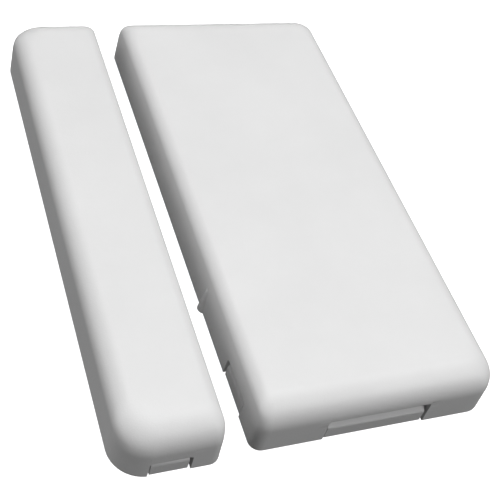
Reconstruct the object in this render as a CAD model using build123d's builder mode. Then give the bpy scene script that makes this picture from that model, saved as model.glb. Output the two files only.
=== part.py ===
from build123d import *
import os
from dataclasses import dataclass
from math import cos, radians, sin, sqrt, tan

# Door contact sensor: a thin battery transmitter, and the magnet unit that sits beside it when the
# door is shut. Millimetres. +Z points away from the door frame, +Y runs along both housings away from
# their release slots, and the magnet unit lies on the -X side. The origin is the middle of the
# transmitter's back face.

# Both housings
TRANSMITTER_LENGTH, TRANSMITTER_WIDTH = 70.0, 31.5
MAGNET_LENGTH, MAGNET_WIDTH = 70.5, 12.5
HEIGHT = 7.2
WALL = 1.2
ROOF = 1.1
DRAFT = 2.4  # degrees that every wall leans in
GAP = 3.6  # between the two housings with the door shut
MAGNET_SHIFT = 0.25  # the magnet unit's middle is this much nearer the release slots' end
FIT = 0.2  # between a base and the cover's walls around it

# Plan radii of the housings' corners, and radii of their roof edges
GAP_CORNER = 1.5
TRANSMITTER_CORNER = 2.5
MAGNET_CORNER = 4.1
GAP_EDGE = 1.7
SIDE_EDGE = 2.4
END_EDGE = 3.6
CORNER_TIGHTENING = 0.3  # share of a wall's inset by which the corners get tighter on the way up
SMALLEST_CORNER = 0.4
SMALLEST_EDGE = 0.5
EDGE_STEPS = 8  # steps up a roof edge
BELOW_EDGE = 0.5  # straight wall that is lofted together with the roof edge
CUT_PAST = 0.5  # how far a cut runs past the face that it opens

# Release slots: notches in the covers' lower rims, with a lip of the base standing in each
END_SLOT_WIDTH, END_SLOT_HEIGHT = 13.5, 3.6
SIDE_SLOT_WIDTH, SIDE_SLOT_HEIGHT = 6.2, 2.7
SIDE_SLOT_FROM_END = 7.9  # middle of the side slot, from the release end
MAGNET_SLOT_WIDTH, MAGNET_SLOT_HEIGHT = 5.0, 2.5
LIP_TOP = 1.95  # at its face, from which it slopes up to the cover's inner face
LIP_BELOW = 0.35  # and how far below the slot's top it ends
LIP_SETBACK = 0.22  # the lip's face, in from the cover's
LIP_GAP = 0.3  # beside the lip, each end
LIP_DEPTH = 2.4
LIP_ROUND = 0.4
BACKING_RIB = 0.8  # wall of the base behind each slot
BACKING_RISE = 0.5  # and its height over the slot's top

# Alignment rib on the transmitter's cover, level with the reed switch
MARK_FROM_END = 20.5
MARK_RADIUS = 0.8
MARK_STAND = 0.5
MARK_TIP = 0.3  # its radius at the top
MARK_TOP = 3.8
MARK_Y = MARK_FROM_END - TRANSMITTER_LENGTH / 2


def spot(x, y, *rest):
    """A place given from the alignment rib's level along Y, and whatever is listed after it."""
    return (x, MARK_Y + y, *rest)


# Bases
BASE = 1.2
TAB_LENGTH, TAB_THICK, TAB_TOP = 8.0, 0.9, 3.4
TAB_SPACING = 17.0  # of the snap tabs, each way from the middle
BEAD_RADIUS, BEAD_STAND, BEAD_DROP = 0.4, 0.1, 0.7
GROOVE_DEPTH = 0.15
SCREW_HOLE, SCREW_SINK, SCREW_BOSS, SCREW_BOSS_TOP = 1.6, 2.8, 3.6, 2.2
SCREW_FROM_END = 6.25
TRANSMITTER_SCREW_X = 10.0

# Circuit board
BOARD = 0.8
BOARD_UNDER = 2.2
BOARD_FROM_WALL = 2.75  # its long edges, from the cover's outer faces
BOARD_NEAR, BOARD_FAR = MARK_Y - 16.5, MARK_Y + 22.5
BOARD_CORNER = 0.8
BOARD_NOTCH = spot(6.0, -10.3)  # the corner left out round a screw boss
BOARD_SCREWS = [spot(-9.6, -13.1), spot(4.2, 19.7)]
BOARD_SCREW_SHANK, BOARD_SCREW_HEAD, BOARD_SCREW_HEAD_HEIGHT = 0.8, 1.6, 0.9
BOARD_SCREW_DRIVE, BOARD_SCREW_DRIVE_WIDTH, BOARD_SCREW_DRIVE_DEPTH = 1.8, 0.4, 0.5
BOARD_SCREW_FLOOR = 0.5  # plastic left under each screw
BOARD_BOSS = 2.1
LOCATING_PINS = [spot(-10.6, 19.7), spot(4.6, -7.8)]
LOCATING_PIN, LOCATING_SHOULDER, LOCATING_RISE = 0.7, 1.5, 0.5
HOLE_PLAY = 0.1

# Coin cell, its positive can upwards
CELL_X, CELL_FROM_BOARD = -3.0, 2.5
CELL_RADIUS, CELL_HEIGHT = 10.0, 3.2
CELL_BOTTOM = 1.65
CELL_ROUND = 0.35
CAN_WALL, CAN_BOTTOM = 0.25, 0.35  # the can's skin, and how far its rolled edge is above the cap's face
CAP_SETBACK, CAP_HEIGHT, CAP_ROUND = 1.15, 2.4, 0.2
CELL_PLAY = 0.25
CELL_RING, CELL_RING_TOP = 0.8, 3.6
CELL_RING_OPENING = 9.0

# Cell contacts, bent strip
STRIP = 0.3
CONTACT_WIDTH = 5.0
CONTACT_FOOT = 3.2
CONTACT_RISER = 0.5  # from the board's edge to the riser
CONTACT_PAST = 1.5  # past the cell's middle
CONTACT_LIFT = 0.1  # strip clear of the cell; its dimple crosses this
DIMPLE_RADIUS = 0.7

# Reed switch, beside the wall that faces the magnet
REED_FROM_WALL, REED_Z = 4.45, 4.35
GLASS_LENGTH, GLASS_RADIUS, GLASS_BORE = 14.0, 1.1, 0.8
GLASS_SEAL, GLASS_ROUND = 1.6, 0.5
REED_WIRE = 0.25
REED_WIRE_OUT = 2.0
REED_BEND = 0.6
BLADE_WIDTH, BLADE_THICK = 0.9, 0.2
BLADE_OVERLAP = 0.6  # of each blade, past the middle
BLADE_ROOT = 0.3  # from the seal to where the moving blade starts
TOUCH = 0.01  # left between pieces that touch and can move apart
WIRE_TAIL = 0.4  # of a soldered wire, below the board

# Tamper switch, pressed by a post under the cover's roof
TAMPER = spot(0, -12.7)
TAMPER_WIDTH, TAMPER_DEPTH, TAMPER_HEIGHT = 6.0, 4.0, 2.1
TAMPER_FLOOR = 0.36
TAMPER_CHAMBER, TAMPER_CHAMBER_HEIGHT = 1.5, 1.25
TAMPER_BORE = 0.95
PLUNGER_RADIUS, PLUNGER_STAND = 0.85, 0.3
FLANGE_RADIUS, FLANGE_THICK = 1.35, 0.3
PLUNGER_TRAVEL = 0.5
SPRING_OUTER, SPRING_INNER = 1.2, 0.7
TAMPER_POST = 1.2
TERMINAL_WIDTH, TERMINAL_LENGTH, TERMINAL_THICK, TERMINAL_SPACING = 0.9, 0.8, 0.2, 2.0

# Surface-mounted pieces: their spot, length along X, length along Y and height
STANDOFF = 0.1
CONTROLLER = spot(1.4, 6.1, 5.3, 7.2, 1.7)
CONTROLLER_LEADS, CONTROLLER_PITCH = 10, 0.65
MEMORY = spot(-2.6, -5.1, 3.9, 4.9, 1.45)
MEMORY_LEADS, MEMORY_PITCH = 4, 1.27
TRANSISTOR = spot(9.0, 4.9, 1.3, 2.9, 1.0)
TRANSISTOR_PITCH = 1.9
LEAD_WIDTH, LEAD_THICK, LEAD_OUT, LEAD_FOOT = 0.3, 0.15, 0.45, 0.45
RESONATOR = spot(8.2, -3.9, 5.0, 5.0, 1.3)
CRYSTAL = spot(-5.2, 13.9, 3.2, 5.0, 1.1)
LID_SETBACK, LID = 0.35, 0.25
TANK_CAPACITOR = spot(9.6, 16.1, 3.5, 2.8, 1.9)
TANK_END = 0.5
CHIP_LENGTH, CHIP_WIDTH, CHIP_END = 2.0, 1.25, 0.4
CAPACITOR_HEIGHT, RESISTOR_HEIGHT = 0.9, 0.5
# Spot of each chip, and its turn about Z
CAPACITORS = [spot(6.6, 1.9, 0), spot(9.9, 1.1, 0), spot(-7.2, -8.3, 90), spot(1.6, -1.7, 0),
              spot(-7.9, 17.3, 0), spot(-1.0, 13.5, 90), spot(8.6, 19.9, 0)]
RESISTORS = [spot(-3.4, -0.1, 0), spot(-7.2, -4.1, 90), spot(1.9, -8.1, 0), spot(-7.0, 4.9, 90),
             spot(-7.0, 1.3, 90), spot(5.6, 11.9, 0), spot(1.2, 15.9, 90), spot(-4.6, 9.1, 0)]
COIL = spot(9.2, 9.3)
COIL_RADIUS, COIL_WIRE, COIL_TURNS, COIL_PITCH, COIL_LIFT = 1.0, 0.18, 5, 0.6, 0.25

# Loop antenna of bent wire
AERIAL_WIRE, AERIAL_BEND = 0.4, 1.2
AERIAL_START, AERIAL_END = spot(12.1, 2.5), spot(9.1, 21.6)
AERIAL_TURN_Y = MARK_Y + 38.7
AERIAL_Z = 4.7

# Bar magnet, level with the reed switch
BAR_WIDTH, BAR_LENGTH, BAR_HEIGHT, BAR_CHAMFER = 5.0, 22.0, 4.0, 0.3
BAR_PLAY = 0.1
CRADLE, CRADLE_TOP = 0.8, 3.4
HOLD_DOWN_WIDTH, HOLD_DOWN_PLAY, HOLD_DOWN_SPACING = 0.8, 0.15, 14.0

BOARD_TOP = BOARD_UNDER + BOARD
BOARD_HALF_WIDTH = TRANSMITTER_WIDTH / 2 - BOARD_FROM_WALL
REED_X = REED_FROM_WALL - TRANSMITTER_WIDTH / 2
CELL_Y = BOARD_FAR + CELL_FROM_BOARD + CELL_RADIUS
CAP_RADIUS = CELL_RADIUS - CAP_SETBACK
CEILING = HEIGHT - ROOF
CELL_TOP = CELL_BOTTOM + CELL_HEIGHT
PLUNGER_TOP = BOARD_TOP + TAMPER_HEIGHT + PLUNGER_STAND
SIDE_SLOT_Y = SIDE_SLOT_FROM_END - TRANSMITTER_LENGTH / 2
ON_FLOOR = (Align.CENTER, Align.CENTER, Align.MIN)


@dataclass(frozen=True)
class Housing:
    """One of the two housings; gap_side is the side of it, -1 or 1 along X, that faces the other."""

    x: float
    y: float
    length: float
    width: float
    gap_side: int
    outer_corner: float
    screw_x: float

    def wall_x(self, side):
        """The outer face of a long wall at the mounting plane."""
        return self.x + side * self.width / 2

    def wall_y(self, side):
        """The outer face of an end wall at the mounting plane."""
        return self.y + side * self.length / 2

    def screws(self):
        """Where the mounting screws go, on the tops of their bosses."""
        away = self.length / 2 - SCREW_FROM_END
        return Locations(*((self.screw_x, self.y + side * away, SCREW_BOSS_TOP) for side in (-1, 1)))


MAGNET_X = -(TRANSMITTER_WIDTH + MAGNET_WIDTH) / 2 - GAP
TRANSMITTER = Housing(0, 0, TRANSMITTER_LENGTH, TRANSMITTER_WIDTH, -1, TRANSMITTER_CORNER,
                      TRANSMITTER_SCREW_X)
MAGNET = Housing(MAGNET_X, -MAGNET_SHIFT, MAGNET_LENGTH, MAGNET_WIDTH, 1, MAGNET_CORNER, MAGNET_X)


def lean(height):
    """How far a wall has leaned in at this height."""
    return height * tan(radians(DRAFT))


def inset_at(height, roof, edge):
    """How far in a wall is at this height: its lean, then an arc that meets the roof flat."""
    middle = roof - edge
    start = middle + edge * sin(radians(DRAFT))
    if height <= start:
        return lean(height)
    return lean(start) + edge * cos(radians(DRAFT)) - sqrt(max(edge**2 - (height - middle) ** 2, 0))


def outline(housing, height, skin, roof=HEIGHT):
    """The housing's outline at this height, taken skin inside its outer surface."""
    end, gap, side = (skin + inset_at(height, roof, max(edge - skin, SMALLEST_EDGE))
                      for edge in (END_EDGE, GAP_EDGE, SIDE_EDGE))
    gap_x = housing.wall_x(housing.gap_side) - housing.gap_side * gap
    side_x = housing.wall_x(-housing.gap_side) + housing.gap_side * side
    gap_corner = max(GAP_CORNER - skin - CORNER_TIGHTENING * (gap - skin), SMALLEST_CORNER)
    side_corner = max(housing.outer_corner - skin - CORNER_TIGHTENING * (side - skin), SMALLEST_CORNER)
    (low_x, low_corner), (high_x, high_corner) = sorted([(gap_x, gap_corner), (side_x, side_corner)])
    near, far = housing.wall_y(-1) + end, housing.wall_y(1) - end
    with BuildSketch(Plane.XY.offset(height)) as level:
        with BuildLine():
            Polyline((low_x, near), (high_x, near), (high_x, far), (low_x, far), close=True)
        make_face()
        fillet(level.vertices().group_by(Axis.X)[0], low_corner)
        fillet(level.vertices().group_by(Axis.X)[-1], high_corner)
    return level.sketch


def shape(housing, skin, roof, bottom):
    """The housing's rounded block, taken skin inside its outer surface, from bottom up to roof."""
    edge = END_EDGE - skin
    turns = [DRAFT + (90 - DRAFT) * step / EDGE_STEPS for step in range(EDGE_STEPS + 1)]
    heights = [roof - edge + edge * sin(radians(turn)) for turn in turns]
    straight_top = heights[0] - BELOW_EDGE
    with BuildPart() as block:
        loft([outline(housing, height, skin, roof) for height in (bottom, straight_top)], ruled=True)
        loft([outline(housing, height, skin, roof) for height in (straight_top, *heights)])
    return block.part


def tab_faces(housing):
    """Where the snap tabs' outer faces are: x, the way they look and y."""
    inset = WALL + FIT + lean(TAB_TOP)
    return [(housing.wall_x(side) - side * inset, side, housing.y + along * TAB_SPACING)
            for side in (-1, 1) for along in (-1, 1)]


def bead(x, y, stand):
    """A bar along Y whose round side reaches stand past x, both ways."""
    with BuildPart() as bar:
        with Locations(Location((x, y, TAB_TOP - BEAD_DROP), (90, 0, 0))):
            Cylinder(BEAD_RADIUS + stand, TAB_LENGTH)
    return bar.part


def slot_cut(width, height):
    """A release slot in the end wall, its middle at the origin and the wall's outer face on Y = 0."""
    with BuildPart() as cut:
        with Locations((0, 0, -CUT_PAST)):
            Box(width, 2 * (WALL + lean(height) + CUT_PAST), height + CUT_PAST, align=ON_FLOOR)
    return cut.part


def slot_lip(width, height):
    """What the base has at a release slot, laid out as in slot_cut: a lip, and a wall behind it."""
    wall = WALL + FIT + lean(height + BACKING_RISE)
    back = LIP_SETBACK + LIP_DEPTH
    with BuildPart() as lip:
        with BuildSketch(Plane.YZ):
            with BuildLine():
                Polyline((LIP_SETBACK, 0), (LIP_SETBACK, LIP_TOP), (wall, height - LIP_BELOW),
                         (back, height - LIP_BELOW), (back, 0), close=True)
            make_face()
        extrude(amount=width / 2 - LIP_GAP, both=True)
        fillet(lip.edges().filter_by(Axis.X).group_by(Axis.Y)[0].sort_by(Axis.Z)[-1], LIP_ROUND)
        with Locations((0, wall, 0)):
            Box(width + 2 * BACKING_RISE, BACKING_RIB, height + BACKING_RISE,
                align=(Align.CENTER, Align.MIN, Align.MIN))
    return lip.part


def gull_lead(piece, turned):
    """One bent lead of a surface-mounted piece, at the middle of its +X side, or its -X side."""
    start = piece[2] / 2
    middle = STANDOFF + piece[4] / 2
    out = start + LEAD_OUT
    with BuildPart() as lead:
        with BuildSketch(Plane.XZ.offset(-LEAD_WIDTH / 2)):
            with BuildLine():
                Polyline((start, middle - LEAD_THICK / 2), (out - LEAD_THICK, middle - LEAD_THICK / 2),
                         (out - LEAD_THICK, 0), (out + LEAD_FOOT, 0), (out + LEAD_FOOT, LEAD_THICK),
                         (out, LEAD_THICK), (out, middle + LEAD_THICK / 2),
                         (start, middle + LEAD_THICK / 2), close=True)
            make_face()
        extrude(amount=LEAD_WIDTH)
    return lead.part.rotate(Axis.Z, 180 if turned else 0)


def on_board(piece):
    """The place on the board's top face where a surface-mounted piece goes."""
    return Location((piece[0], piece[1], BOARD_TOP))


SLOTS = {
    "end": Location((TRANSMITTER.x, TRANSMITTER.wall_y(-1), 0)),
    "side": Location((TRANSMITTER.wall_x(-1), SIDE_SLOT_Y, 0), (0, 0, -90)),
    "magnet": Location((MAGNET.x, MAGNET.wall_y(-1), 0)),
}

# Covers
with BuildPart() as transmitter_cover:
    add(shape(TRANSMITTER, 0, HEIGHT, 0))
    add(shape(TRANSMITTER, WALL, CEILING, -CUT_PAST), mode=Mode.SUBTRACT)
    with Locations(SLOTS["end"]):
        add(slot_cut(END_SLOT_WIDTH, END_SLOT_HEIGHT), mode=Mode.SUBTRACT)
    with Locations(SLOTS["side"]):
        add(slot_cut(SIDE_SLOT_WIDTH, SIDE_SLOT_HEIGHT), mode=Mode.SUBTRACT)
    for tab_x, side, tab_y in tab_faces(TRANSMITTER):
        add(bead(tab_x, tab_y, BEAD_STAND + GROOVE_DEPTH), mode=Mode.SUBTRACT)
    with Locations((TRANSMITTER.wall_x(-1) - MARK_STAND + MARK_RADIUS, MARK_Y, 0)):
        Cone(MARK_RADIUS, MARK_TIP, MARK_TOP, align=ON_FLOOR)
    with Locations((*TAMPER, CEILING)):
        Cylinder(TAMPER_POST, CEILING - PLUNGER_TOP - TOUCH,
                 align=(Align.CENTER, Align.CENTER, Align.MAX))

with BuildPart() as magnet_cover:
    add(shape(MAGNET, 0, HEIGHT, 0))
    add(shape(MAGNET, WALL, CEILING, -CUT_PAST), mode=Mode.SUBTRACT)
    with Locations(SLOTS["magnet"]):
        add(slot_cut(MAGNET_SLOT_WIDTH, MAGNET_SLOT_HEIGHT), mode=Mode.SUBTRACT)
    for tab_x, side, tab_y in tab_faces(MAGNET):
        add(bead(tab_x, tab_y, BEAD_STAND + GROOVE_DEPTH), mode=Mode.SUBTRACT)
    with Locations((MAGNET.x, MARK_Y, CEILING)):
        with GridLocations(0, HOLD_DOWN_SPACING, 1, 2):
            Box(BAR_WIDTH, HOLD_DOWN_WIDTH, CEILING - BASE - BAR_HEIGHT - HOLD_DOWN_PLAY,
                align=(Align.CENTER, Align.CENTER, Align.MAX))

# Bases
def base_plate(housing):
    """A base's plate, with its snap tabs and screw bosses."""
    with BuildPart() as plate:
        extrude(outline(housing, 0, WALL + FIT), amount=BASE)
        for tab_x, side, tab_y in tab_faces(housing):
            with Locations((tab_x - side * TAB_THICK / 2, tab_y, 0)):
                Box(TAB_THICK, TAB_LENGTH, TAB_TOP, align=ON_FLOOR)
            add(bead(tab_x - side * BEAD_RADIUS, tab_y, BEAD_STAND))
        with housing.screws():
            Cylinder(SCREW_BOSS, SCREW_BOSS_TOP, align=(Align.CENTER, Align.CENTER, Align.MAX))
    return plate.part


with BuildPart() as transmitter_base:
    add(base_plate(TRANSMITTER))
    with Locations(SLOTS["end"]):
        add(slot_lip(END_SLOT_WIDTH, END_SLOT_HEIGHT))
    with Locations(SLOTS["side"]):
        add(slot_lip(SIDE_SLOT_WIDTH, SIDE_SLOT_HEIGHT))
    with Locations((CELL_X, CELL_Y, 0)):
        Cylinder(CELL_RADIUS + CELL_PLAY + CELL_RING, CELL_RING_TOP, align=ON_FLOOR)
        with Locations((0, 0, BASE)):
            Cylinder(CELL_RADIUS + CELL_PLAY, CELL_RING_TOP, align=ON_FLOOR, mode=Mode.SUBTRACT)
            with Locations((0, -CELL_RADIUS, 0)):
                Box(CELL_RING_OPENING, CELL_RADIUS, CELL_RING_TOP, align=ON_FLOOR, mode=Mode.SUBTRACT)
    with Locations(*((x, y, 0) for x, y in BOARD_SCREWS)):
        Cylinder(BOARD_BOSS, BOARD_UNDER, align=ON_FLOOR)
    with Locations(*((x, y, BOARD_SCREW_FLOOR) for x, y in BOARD_SCREWS)):
        Cylinder(BOARD_SCREW_SHANK, BOARD_UNDER, align=ON_FLOOR, mode=Mode.SUBTRACT)
    with Locations(*((x, y, 0) for x, y in LOCATING_PINS)):
        Cylinder(LOCATING_SHOULDER, BOARD_UNDER, align=ON_FLOOR)
        Cylinder(LOCATING_PIN, BOARD_TOP + LOCATING_RISE, align=ON_FLOOR)
    with TRANSMITTER.screws():
        CounterSinkHole(SCREW_HOLE, SCREW_SINK, SCREW_BOSS_TOP + CUT_PAST)

with BuildPart() as magnet_base:
    add(base_plate(MAGNET))
    with Locations(SLOTS["magnet"]):
        add(slot_lip(MAGNET_SLOT_WIDTH, MAGNET_SLOT_HEIGHT))
    with Locations((MAGNET.x, MARK_Y, 0)):
        Box(BAR_WIDTH + 2 * (BAR_PLAY + CRADLE), BAR_LENGTH + 2 * (BAR_PLAY + CRADLE), CRADLE_TOP,
            align=ON_FLOOR)
        with Locations((0, 0, BASE)):
            Box(BAR_WIDTH + 2 * BAR_PLAY, BAR_LENGTH + 2 * BAR_PLAY, CRADLE_TOP, align=ON_FLOOR,
                mode=Mode.SUBTRACT)
    with MAGNET.screws():
        CounterSinkHole(SCREW_HOLE, SCREW_SINK, SCREW_BOSS_TOP + CUT_PAST)

with BuildPart() as bar_magnet:
    with Locations((MAGNET.x, MARK_Y, BASE)):
        Box(BAR_WIDTH, BAR_LENGTH, BAR_HEIGHT, align=ON_FLOOR)
    chamfer(bar_magnet.edges(), BAR_CHAMFER)

# Circuit board
wire_holes = [(REED_X, MARK_Y - GLASS_LENGTH / 2 - REED_WIRE_OUT, REED_WIRE),
              (REED_X, MARK_Y + GLASS_LENGTH / 2 + REED_WIRE_OUT, REED_WIRE),
              (*AERIAL_START, AERIAL_WIRE),
              (*AERIAL_END, AERIAL_WIRE)]
with BuildPart() as circuit_board:
    with BuildSketch(Plane.XY.offset(BOARD_UNDER)) as board_outline:
        with BuildLine():
            Polyline((-BOARD_HALF_WIDTH, BOARD_NEAR), (BOARD_NOTCH[0], BOARD_NEAR),
                     BOARD_NOTCH, (BOARD_HALF_WIDTH, BOARD_NOTCH[1]),
                     (BOARD_HALF_WIDTH, BOARD_FAR), (-BOARD_HALF_WIDTH, BOARD_FAR), close=True)
        make_face()
        fillet(board_outline.vertices(), BOARD_CORNER)
        for x, y in LOCATING_PINS:
            with Locations((x, y)):
                Circle(LOCATING_PIN + HOLE_PLAY, mode=Mode.SUBTRACT)
        for x, y in BOARD_SCREWS:
            with Locations((x, y)):
                Circle(BOARD_SCREW_SHANK + HOLE_PLAY, mode=Mode.SUBTRACT)
        for x, y, radius in wire_holes:
            with Locations((x, y)):
                Circle(radius, mode=Mode.SUBTRACT)
    extrude(amount=BOARD)

with BuildPart() as board_screws:
    for x, y in BOARD_SCREWS:
        with Locations((x, y, BOARD_SCREW_FLOOR)):
            Cylinder(BOARD_SCREW_SHANK, BOARD_TOP - BOARD_SCREW_FLOOR, align=ON_FLOOR)
        with Locations((x, y, BOARD_TOP)):
            Cylinder(BOARD_SCREW_HEAD, BOARD_SCREW_HEAD_HEIGHT, align=ON_FLOOR)
            with Locations((0, 0, BOARD_SCREW_HEAD_HEIGHT - BOARD_SCREW_DRIVE_DEPTH)):
                for turn in (0, 90):
                    Box(BOARD_SCREW_DRIVE, BOARD_SCREW_DRIVE_WIDTH, BOARD_SCREW_DRIVE_DEPTH,
                        rotation=(0, 0, turn), align=ON_FLOOR, mode=Mode.SUBTRACT)

# Coin cell: a can turned down over a cap, with a sealing ring between them
with BuildPart() as coin_cell_can:
    with Locations((CELL_X, CELL_Y, CELL_BOTTOM + CAN_BOTTOM)):
        Cylinder(CELL_RADIUS, CELL_HEIGHT - CAN_BOTTOM, align=ON_FLOOR)
    fillet(coin_cell_can.edges().filter_by(GeomType.CIRCLE), CELL_ROUND)
    with Locations((CELL_X, CELL_Y, CELL_BOTTOM)):
        Cylinder(CELL_RADIUS - CAN_WALL, CELL_HEIGHT - CAN_WALL, align=ON_FLOOR, mode=Mode.SUBTRACT)

with BuildPart() as coin_cell_cap:
    with Locations((CELL_X, CELL_Y, CELL_BOTTOM)):
        Cylinder(CAP_RADIUS, CAP_HEIGHT, align=ON_FLOOR)
    fillet(coin_cell_cap.edges().filter_by(GeomType.CIRCLE).group_by(Axis.Z)[0], CAP_ROUND)

with BuildPart() as coin_cell_seal:
    with Locations((CELL_X, CELL_Y, CELL_BOTTOM + CAN_BOTTOM)):
        Cylinder(CELL_RADIUS - CAN_WALL, CELL_HEIGHT - CAN_BOTTOM - CAN_WALL, align=ON_FLOOR)
    with Locations((CELL_X, CELL_Y, CELL_BOTTOM)):
        Cylinder(CAP_RADIUS, CAP_HEIGHT, align=ON_FLOOR, mode=Mode.SUBTRACT)


def contact_strip(foot_z, riser_y, reach_z, dimple_z):
    """A bent strip's two straight runs and the riser between them, and the dimple near its end."""
    low, high = sorted((foot_z, reach_z))
    with BuildPart() as strip:
        with Locations((CELL_X, riser_y + STRIP, foot_z)):
            Box(CONTACT_WIDTH, CONTACT_FOOT + CONTACT_RISER + STRIP, STRIP,
                align=(Align.CENTER, Align.MAX, Align.MIN))
        with Locations((CELL_X, riser_y, low)):
            Box(CONTACT_WIDTH, STRIP, high - low + STRIP, align=(Align.CENTER, Align.MIN, Align.MIN))
        with Locations((CELL_X, riser_y, reach_z)):
            Box(CONTACT_WIDTH, CELL_Y + CONTACT_PAST - riser_y, STRIP,
                align=(Align.CENTER, Align.MIN, Align.MIN))
        near_z, far_z = sorted((reach_z + STRIP / 2, dimple_z))
        with Locations((CELL_X, CELL_Y, near_z)):
            Cylinder(DIMPLE_RADIUS, far_z - near_z, align=ON_FLOOR)
    return strip.part


RISER_Y = BOARD_FAR + CONTACT_RISER
with BuildPart() as positive_contact:
    add(contact_strip(BOARD_TOP, RISER_Y, CELL_TOP + CONTACT_LIFT, CELL_TOP))

with BuildPart() as negative_contact:
    add(contact_strip(BOARD_UNDER - STRIP, RISER_Y, BASE, CELL_BOTTOM))

# Reed switch
GLASS_END = GLASS_LENGTH / 2
SEAL_FACE = GLASS_END - GLASS_SEAL
with BuildPart() as reed_glass:
    with Locations(Location((REED_X, MARK_Y, REED_Z), (90, 0, 0))):
        Cylinder(GLASS_RADIUS, GLASS_LENGTH)
    fillet(reed_glass.edges().filter_by(GeomType.CIRCLE), GLASS_ROUND)
    with Locations(Location((REED_X, MARK_Y, REED_Z), (90, 0, 0))):
        Cylinder(GLASS_BORE, 2 * SEAL_FACE, mode=Mode.SUBTRACT)
        Cylinder(REED_WIRE, GLASS_LENGTH, mode=Mode.SUBTRACT)


def reed_lead(side):
    """The wire from one end of the glass down through the board; side is -1 near and 1 far."""
    with BuildPart() as lead:
        with BuildLine() as path:
            FilletPolyline((REED_X, MARK_Y + side * SEAL_FACE, REED_Z),
                           (REED_X, MARK_Y + side * (GLASS_END + REED_WIRE_OUT), REED_Z),
                           (REED_X, MARK_Y + side * (GLASS_END + REED_WIRE_OUT),
                            BOARD_UNDER - WIRE_TAIL), radius=REED_BEND)
        with BuildSketch(Plane(origin=path.line @ 0, z_dir=path.line % 0)):
            Circle(REED_WIRE)
        sweep()
    return lead.part


with BuildPart() as reed_fixed_lead:
    add(reed_lead(-1))
    with Locations((REED_X, MARK_Y - SEAL_FACE, REED_Z)):
        Box(BLADE_WIDTH, SEAL_FACE + BLADE_OVERLAP, BLADE_THICK,
            align=(Align.CENTER, Align.MIN, Align.MAX))

with BuildPart() as reed_far_lead:
    add(reed_lead(1))

with BuildPart() as reed_moving_blade:
    with Locations((REED_X, MARK_Y + SEAL_FACE - BLADE_ROOT, REED_Z + TOUCH)):
        Box(BLADE_WIDTH, SEAL_FACE - BLADE_ROOT + BLADE_OVERLAP, BLADE_THICK,
            align=(Align.CENTER, Align.MAX, Align.MIN))

# Tamper switch, drawn pressed
CHAMBER_FLOOR = BOARD_TOP + TAMPER_FLOOR
FLANGE_TOP = CHAMBER_FLOOR + TAMPER_CHAMBER_HEIGHT - PLUNGER_TRAVEL - TOUCH
with BuildPart() as tamper_switch_body:
    with Locations((*TAMPER, BOARD_TOP)):
        Box(TAMPER_WIDTH, TAMPER_DEPTH, TAMPER_HEIGHT, align=ON_FLOOR)
    with Locations((*TAMPER, CHAMBER_FLOOR)):
        Cylinder(TAMPER_CHAMBER, TAMPER_CHAMBER_HEIGHT, align=ON_FLOOR, mode=Mode.SUBTRACT)
        Cylinder(TAMPER_BORE, TAMPER_HEIGHT, align=ON_FLOOR, mode=Mode.SUBTRACT)

with BuildPart() as tamper_terminals:
    for side in (-1, 1):
        with Locations((TAMPER[0] + side * TAMPER_WIDTH / 2, TAMPER[1], BOARD_TOP)):
            with GridLocations(0, TERMINAL_SPACING, 1, 2):
                Box(TERMINAL_LENGTH, TERMINAL_WIDTH, TERMINAL_THICK,
                    align=(Align.MIN if side > 0 else Align.MAX, Align.CENTER, Align.MIN))

with BuildPart() as tamper_plunger:
    with Locations((*TAMPER, FLANGE_TOP - FLANGE_THICK)):
        Cylinder(FLANGE_RADIUS, FLANGE_THICK, align=ON_FLOOR)
        Cylinder(PLUNGER_RADIUS, PLUNGER_TOP - FLANGE_TOP + FLANGE_THICK, align=ON_FLOOR)

with BuildPart() as tamper_spring:
    with Locations((*TAMPER, CHAMBER_FLOOR)):
        Cylinder(SPRING_OUTER, FLANGE_TOP - FLANGE_THICK - CHAMBER_FLOOR, align=ON_FLOOR)
        Cylinder(SPRING_INNER, FLANGE_TOP - FLANGE_THICK - CHAMBER_FLOOR, align=ON_FLOOR,
                 mode=Mode.SUBTRACT)


# Surface-mounted pieces
def molded_body(piece):
    """The molded block of a leaded piece, held just off the board."""
    with BuildPart() as block:
        with Locations((0, 0, STANDOFF)):
            Box(piece[2], piece[3], piece[4] - STANDOFF, align=ON_FLOOR)
        chamfer(block.edges().group_by(Axis.Z)[-1], STANDOFF)
    return block.part


with BuildPart() as controller_body:
    with Locations(on_board(CONTROLLER)):
        add(molded_body(CONTROLLER))

with BuildPart() as memory_body:
    with Locations(on_board(MEMORY)):
        add(molded_body(MEMORY))

with BuildPart() as transistor_body:
    with Locations(on_board(TRANSISTOR)):
        add(molded_body(TRANSISTOR))

with BuildPart() as controller_leads:
    with Locations(on_board(CONTROLLER)):
        with GridLocations(0, CONTROLLER_PITCH, 1, CONTROLLER_LEADS):
            for turned in (False, True):
                add(gull_lead(CONTROLLER, turned))

with BuildPart() as memory_leads:
    with Locations(on_board(MEMORY)):
        with GridLocations(0, MEMORY_PITCH, 1, MEMORY_LEADS):
            for turned in (False, True):
                add(gull_lead(MEMORY, turned))

with BuildPart() as transistor_leads:
    with Locations(on_board(TRANSISTOR)):
        add(gull_lead(TRANSISTOR, True))
        with GridLocations(0, TRANSISTOR_PITCH, 1, 2):
            add(gull_lead(TRANSISTOR, False))

with BuildPart() as resonator_base:
    with Locations(on_board(RESONATOR)):
        Box(RESONATOR[2], RESONATOR[3], RESONATOR[4] - LID, align=ON_FLOOR)

with BuildPart() as resonator_lid:
    with Locations(on_board(RESONATOR) * Location((0, 0, RESONATOR[4] - LID))):
        Box(RESONATOR[2] - 2 * LID_SETBACK, RESONATOR[3] - 2 * LID_SETBACK, LID, align=ON_FLOOR)

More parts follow.
